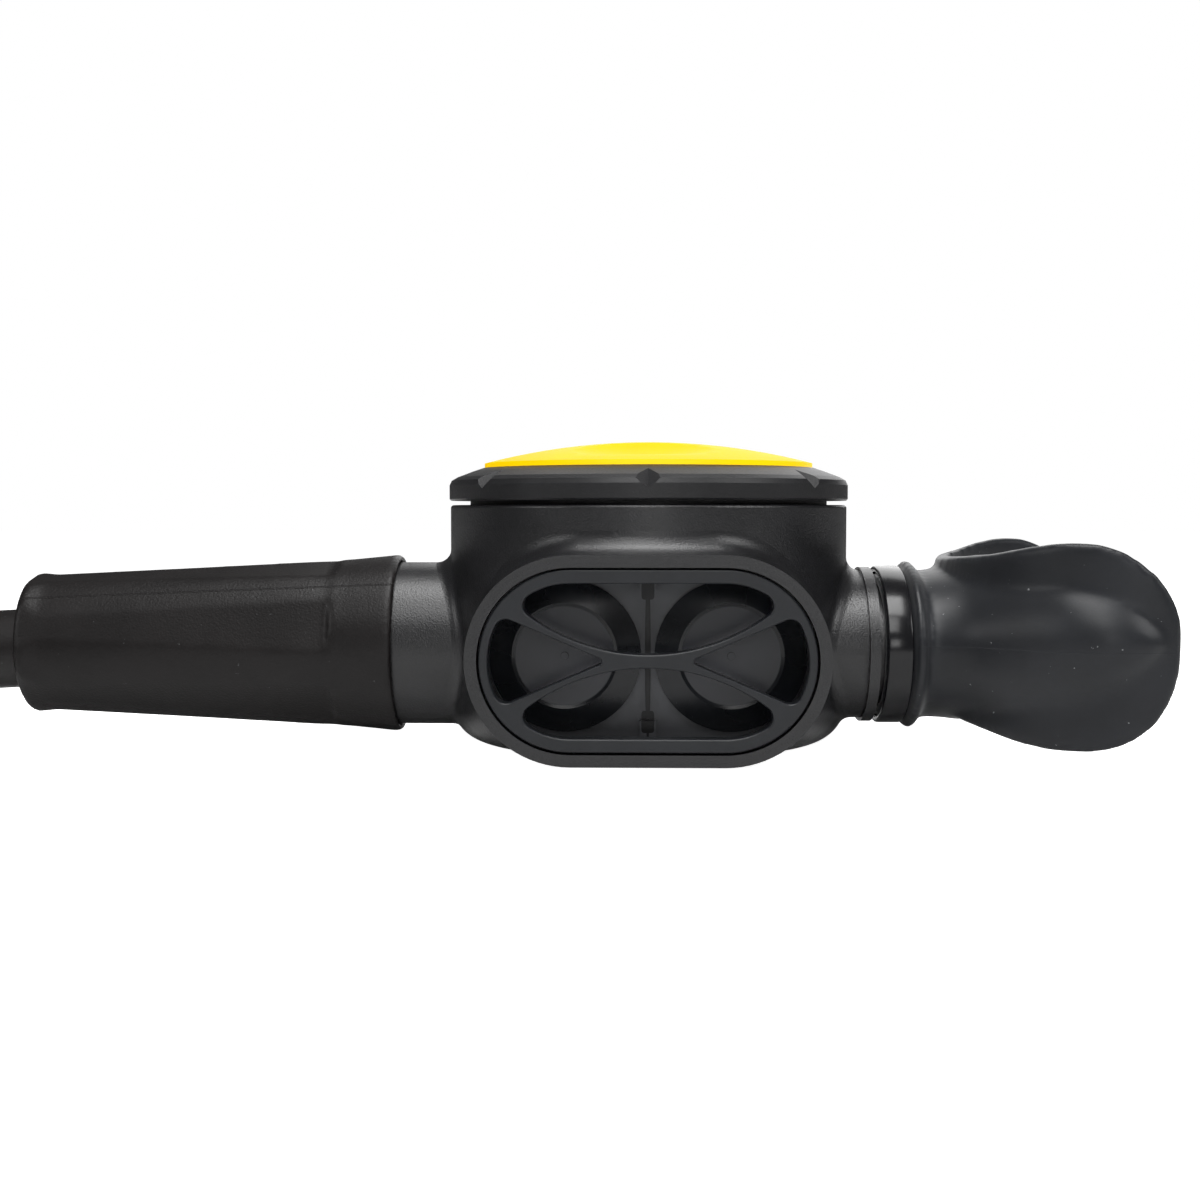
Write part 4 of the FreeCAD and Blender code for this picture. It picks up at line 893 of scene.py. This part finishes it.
@dataclass
class Tie:
    """The flat strap that holds both laps of the coil."""

    shop: Shop
    turn: float = 120.0
    hose_radius: float = HOSE_DIAMETER / 2
    width: float = 14.0 * MM
    wall: float = 0.9 * MM
    play: float = 0.15 * MM
    steps: int = 10
    roundness: float = 0.98
    edge_angle: float = 30.0

    def build(self) -> bpy.types.Object:
        """Shape a box's four long edges round the hoses, open its ends and thicken it."""
        angle = math.radians(self.turn)
        heading = Vector((-math.cos(angle), -math.sin(angle), 0))
        spot = Vector((COIL_CENTRE_X - COIL_RADIUS * math.sin(angle),
                       COIL_RADIUS * (math.cos(angle) - 1), HOSE_LIFT + 2 * self.hose_radius))
        across = 2 * (self.hose_radius + self.play)
        strap = block("coil_strap", (0, 0, 0), (self.width, across, across + 2 * self.hose_radius))
        make_active(strap)
        bpy.ops.object.mode_set(mode="EDIT")
        bpy.ops.mesh.select_all(action="DESELECT")
        mesh = bmesh.from_edit_mesh(strap.data)
        for face in mesh.faces:
            face.select_set(abs(face.normal.x) > 0.9)
        bmesh.update_edit_mesh(strap.data)
        bpy.ops.mesh.delete(type="ONLY_FACE")
        for edge in bmesh.from_edit_mesh(strap.data).edges:
            run = edge.verts[0].co - edge.verts[1].co
            edge.select_set(abs(run.x) > self.width / 2)
        bpy.ops.mesh.bevel(offset=self.hose_radius * self.roundness, segments=self.steps,
                           affect="EDGES")
        bpy.ops.object.mode_set(mode="OBJECT")
        strap.rotation_euler = (0, 0, math.atan2(heading.y, heading.x))
        strap.location = spot
        make_active(strap)
        bpy.ops.object.transform_apply(location=True, rotation=True, scale=True)
        apply_modifier(strap, "SOLIDIFY", thickness=self.wall, offset=1.0)
        smooth_by_angle(strap, self.edge_angle)
        return self.shop.hand_over(strap, "second_stage", "coil_tie")


# --- springs and diaphragm ----------------------------------------------------------

@dataclass
class Flexing:
    """A spring or the diaphragm, copied from its CAD node and left where the node stood."""

    shop: Shop
    node: str
    name: str
    body: str
    start: Point
    end: Point
    edge_angle: float = 30.0

    def build(self) -> bpy.types.Object:
        """Copy the node, shade it smooth, dress it and hide the node."""
        piece = self.shop.copy_of_node(self.node, self.name)
        smooth_by_angle(piece, self.edge_angle)
        self.shop.dress(piece, NODE_LOOKS[self.node])
        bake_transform(piece)
        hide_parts(self.node)
        return piece


def flexing_parts(shop: Shop) -> list[Flexing]:
    """List the springs and the diaphragm with the heights or places between which each gives."""
    return [
        Flexing(shop, "purge_spring", "button_spring", "purge_cover",
                (0, 0, 37.0 * MM), (0, 0, 41.0 * MM)),
        Flexing(shop, "diaphragm", "soft_diaphragm", "diaphragm_disc",
                (0, 0, 31.35 * MM), (0, 0, 31.8 * MM)),
        Flexing(shop, "poppet_spring", "valve_spring", "poppet",
                (-8.0 * MM, 0, AXIS_HEIGHT), (-32.0 * MM, 0, AXIS_HEIGHT)),
    ]


# --- hose -------------------------------------------------------------------------

@dataclass
class Hose:
    """The free hose: straight out of its sleeve, down to the surface and round its coil."""

    shop: Shop
    diameter: float = HOSE_DIAMETER
    length: float = 0.71
    start_x: float = -61.0 * MM
    exit_x: float = -76.0 * MM
    drop: tuple[tuple[float, float], ...] = ((-89.0 * MM, 0.35 * MM), (-119.0 * MM, 1.9 * MM))
    landing: tuple[float, float] = (-147.0 * MM, 0.8 * MM)
    axis_height: float = AXIS_HEIGHT
    lift: float = HOSE_LIFT
    end_turn: float = 540.0
    step: float = 18.0
    ramp: tuple[float, float] = (228.0, 326.0)
    end_rise: float = 2.3 * MM
    rise_turns: tuple[float, float] = (60.0, 8.0)
    end_run: tuple[float, float] = (6.0 * MM, 2.0 * MM)
    corner_power: float = 0.67
    nodes: tuple[str, ...] = ("hose", "hose_coil")
    fittings: tuple[str, ...] = ("far_ferrule", "first_stage_fitting", "fitting_seal")

    def on_coil(self, turn: float, radius: float) -> Vector:
        """Give a point on the coil, its turn counted from where the hose joins it."""
        angle = math.radians(turn)
        return Vector((COIL_CENTRE_X - radius * math.sin(angle),
                       -COIL_RADIUS + radius * math.cos(angle), self.level(turn)))

    def level(self, turn: float) -> float:
        """Give the hose's height on the coil: lower lap, a climb, then the upper lap."""
        low = self.lift + self.diameter / 2
        climb = smoothstep(turn, *self.ramp) * self.diameter
        rise_from, rise_to = (self.end_turn - before for before in self.rise_turns)
        lift_off = smoothstep(turn, rise_from, rise_to) * self.end_rise
        return low + climb + lift_off

    def route(self) -> list[Vector]:
        """Give the control points of the hose's smooth line."""
        high, low = self.axis_height, self.level(0)
        landing_x, landing_rise = self.landing
        points = [Vector((self.start_x, 0, high))]
        points += [Vector((x, 0, high - fall)) for x, fall in self.drop]
        points.append(Vector((landing_x, 0, low + landing_rise)))
        half_step = math.radians(self.step / 2)
        outside = COIL_RADIUS / math.cos(half_step) ** self.corner_power
        count = round(self.end_turn / self.step)
        for number in range(count):
            points.append(self.on_coil(number * self.end_turn / count, outside))
        end = self.on_coil(self.end_turn, COIL_RADIUS)
        ahead = self.on_coil(self.end_turn + 1, COIL_RADIUS) - end
        ahead.z = 0
        ahead.normalize()
        before, past = self.end_run
        return [*points, end - ahead * before, end + ahead * past]

    def build(self) -> bpy.types.Object:
        curve = bpy.data.curves.new("hose_line", "CURVE")
        curve.dimensions = "3D"
        curve.bevel_depth = self.diameter / 2
        curve.bevel_resolution = 9
        curve.resolution_u = 12
        curve.use_fill_caps = True
        line = curve.splines.new("NURBS")
        points = self.route()
        line.points.add(len(points) - 1)
        for spot, place in zip(line.points, points):
            spot.co = (*place, 1.0)
        line.order_u = 3
        line.use_endpoint_u = True
        hose = bpy.data.objects.new("hose_free", curve)
        bpy.context.collection.objects.link(hose)
        hose.data.materials.append(self.shop.material(Look.HOSE))
        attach(hose, "second_stage")
        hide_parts(*self.nodes)
        return hose


def smoothstep(value: float, low: float, high: float) -> float:
    """Give 0 below low, 1 above high and a smooth step between."""
    share = min(1.0, max(0.0, (value - low) / (high - low)))
    return share * share * (3 - 2 * share)


# --- studio -----------------------------------------------------------------------

@dataclass
class Studio:
    """Floor, backdrop colour, lamps and the camera."""

    camera_at: Point = (0.0, -280.0 * MM, 36.2 * MM)
    lens: float = 52.3
    sensor: float = 36.0
    yaw: float = 1.577
    pitch: float = -2.886
    floor_half: float = 3.0
    even_fill: float = 0.03
    mirror_fill: float = 0.05
    floor_colour: Colour = (0.80, 0.80, 0.80)
    floor_glow: float = 0.985
    floor_drop: float = 0.05 * MM
    lamps: tuple[tuple[str, Point, float, float], ...] = (
        ("top_softbox", (0.0, -0.08, 0.60), 0.34, 3.6),
        ("left_softbox", (-0.55, -0.30, 0.30), 0.20, 0.7),
        ("right_softbox", (0.50, -0.30, 0.45), 0.30, 1.7),
        ("high_front_softbox", (-0.05, -0.42, 0.50), 0.30, 1.7),
        ("front_softbox", (0.03, -0.60, 0.16), 0.14, 0.35),
        ("back_softbox", (0.10, 0.55, 0.30), 0.45, 1.2),
    )
    aim: Point = (0.0, 0.0, 0.02)

    def build(self) -> None:
        """Set up everything that isn't the object."""
        self._camera()
        self._world()
        self._floor()
        for name, place, size, power in self.lamps:
            self._lamp(name, place, size, power)
        bpy.context.scene.view_settings.view_transform = "Standard"

    def _camera(self) -> None:
        """Place the camera level with the case's rim, close to the exhaust port."""
        data = bpy.data.cameras.new("camera")
        data.lens = self.lens
        data.sensor_width = self.sensor
        data.clip_start = 0.01
        camera = bpy.data.objects.new("camera", data)
        camera.location = self.camera_at
        camera.rotation_euler = (math.radians(90 + self.pitch), 0.0, math.radians(self.yaw))
        bpy.context.collection.objects.link(camera)
        bpy.context.scene.camera = camera

    def _world(self) -> None:
        """White where the camera sees it, a soft even light elsewhere."""
        world = bpy.data.worlds.new("studio")
        bpy.context.scene.world = world
        graph = Graph(world)
        fill = graph.ray("Is Glossy Ray") * self.mirror_fill + self.even_fill
        soft, bright = (
            graph.node("ShaderNodeBackground", {}, {
                "Color": (1.0, 1.0, 1.0, 1.0), "Strength": strength})
            for strength in (fill, 1.0))
        graph.finish_with("ShaderNodeOutputWorld", graph.node(
            "ShaderNodeMixShader", {}, {0: graph.white_rays(), 1: soft, 2: bright}))

    def _floor(self) -> None:
        """Lay a pale floor that keeps the object's shadow."""
        clear_selection()
        bpy.ops.mesh.primitive_plane_add(
            size=2 * self.floor_half, location=(0, 0, -self.floor_drop))
        floor = bpy.context.active_object
        floor.name = "floor"
        graph = Graph.of_material("floor_white")
        matte = graph.node("ShaderNodeBsdfDiffuse", {}, {"Color": (*self.floor_colour, 1.0)})
        glow = graph.node("ShaderNodeEmission", {}, {"Strength": self.floor_glow})
        both = graph.node("ShaderNodeAddShader", {}, {0: matte, 1: glow})
        graph.finish_with("ShaderNodeOutputMaterial", graph.node(
            "ShaderNodeMixShader", {}, {0: graph.white_rays(), 1: matte, 2: both}))
        floor.data.materials.append(graph.owner)

    def _lamp(self, name: str, place: Point, size: float, power: float) -> None:
        """Hang one square soft lamp, turned to the object."""
        data = bpy.data.lights.new(name, "AREA")
        data.shape = "SQUARE"
        data.size = size
        data.energy = power
        lamp = bpy.data.objects.new(name, data)
        lamp.location = place
        towards = Vector(self.aim) - Vector(place)
        lamp.rotation_euler = towards.to_track_quat("-Z", "Y").to_euler()
        bpy.context.collection.objects.link(lamp)


# --- assembly ---------------------------------------------------------------------


def main() -> None:
    """Build the looks in order and report each piece."""
    logging.basicConfig(level=logging.INFO)
    shop = Shop(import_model()["nodes"])
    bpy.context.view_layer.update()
    Studio().build()
    shop.dress_nodes()
    for part in (PurgeCover(shop), Sleeve(shop), Band(shop), Mouthpiece(shop), Tie(shop),
                 *flexing_parts(shop), Hose(shop)):
        piece = part.build()
        LOG.info("built %s", piece.name)


if __name__ == "__main__":
    main()
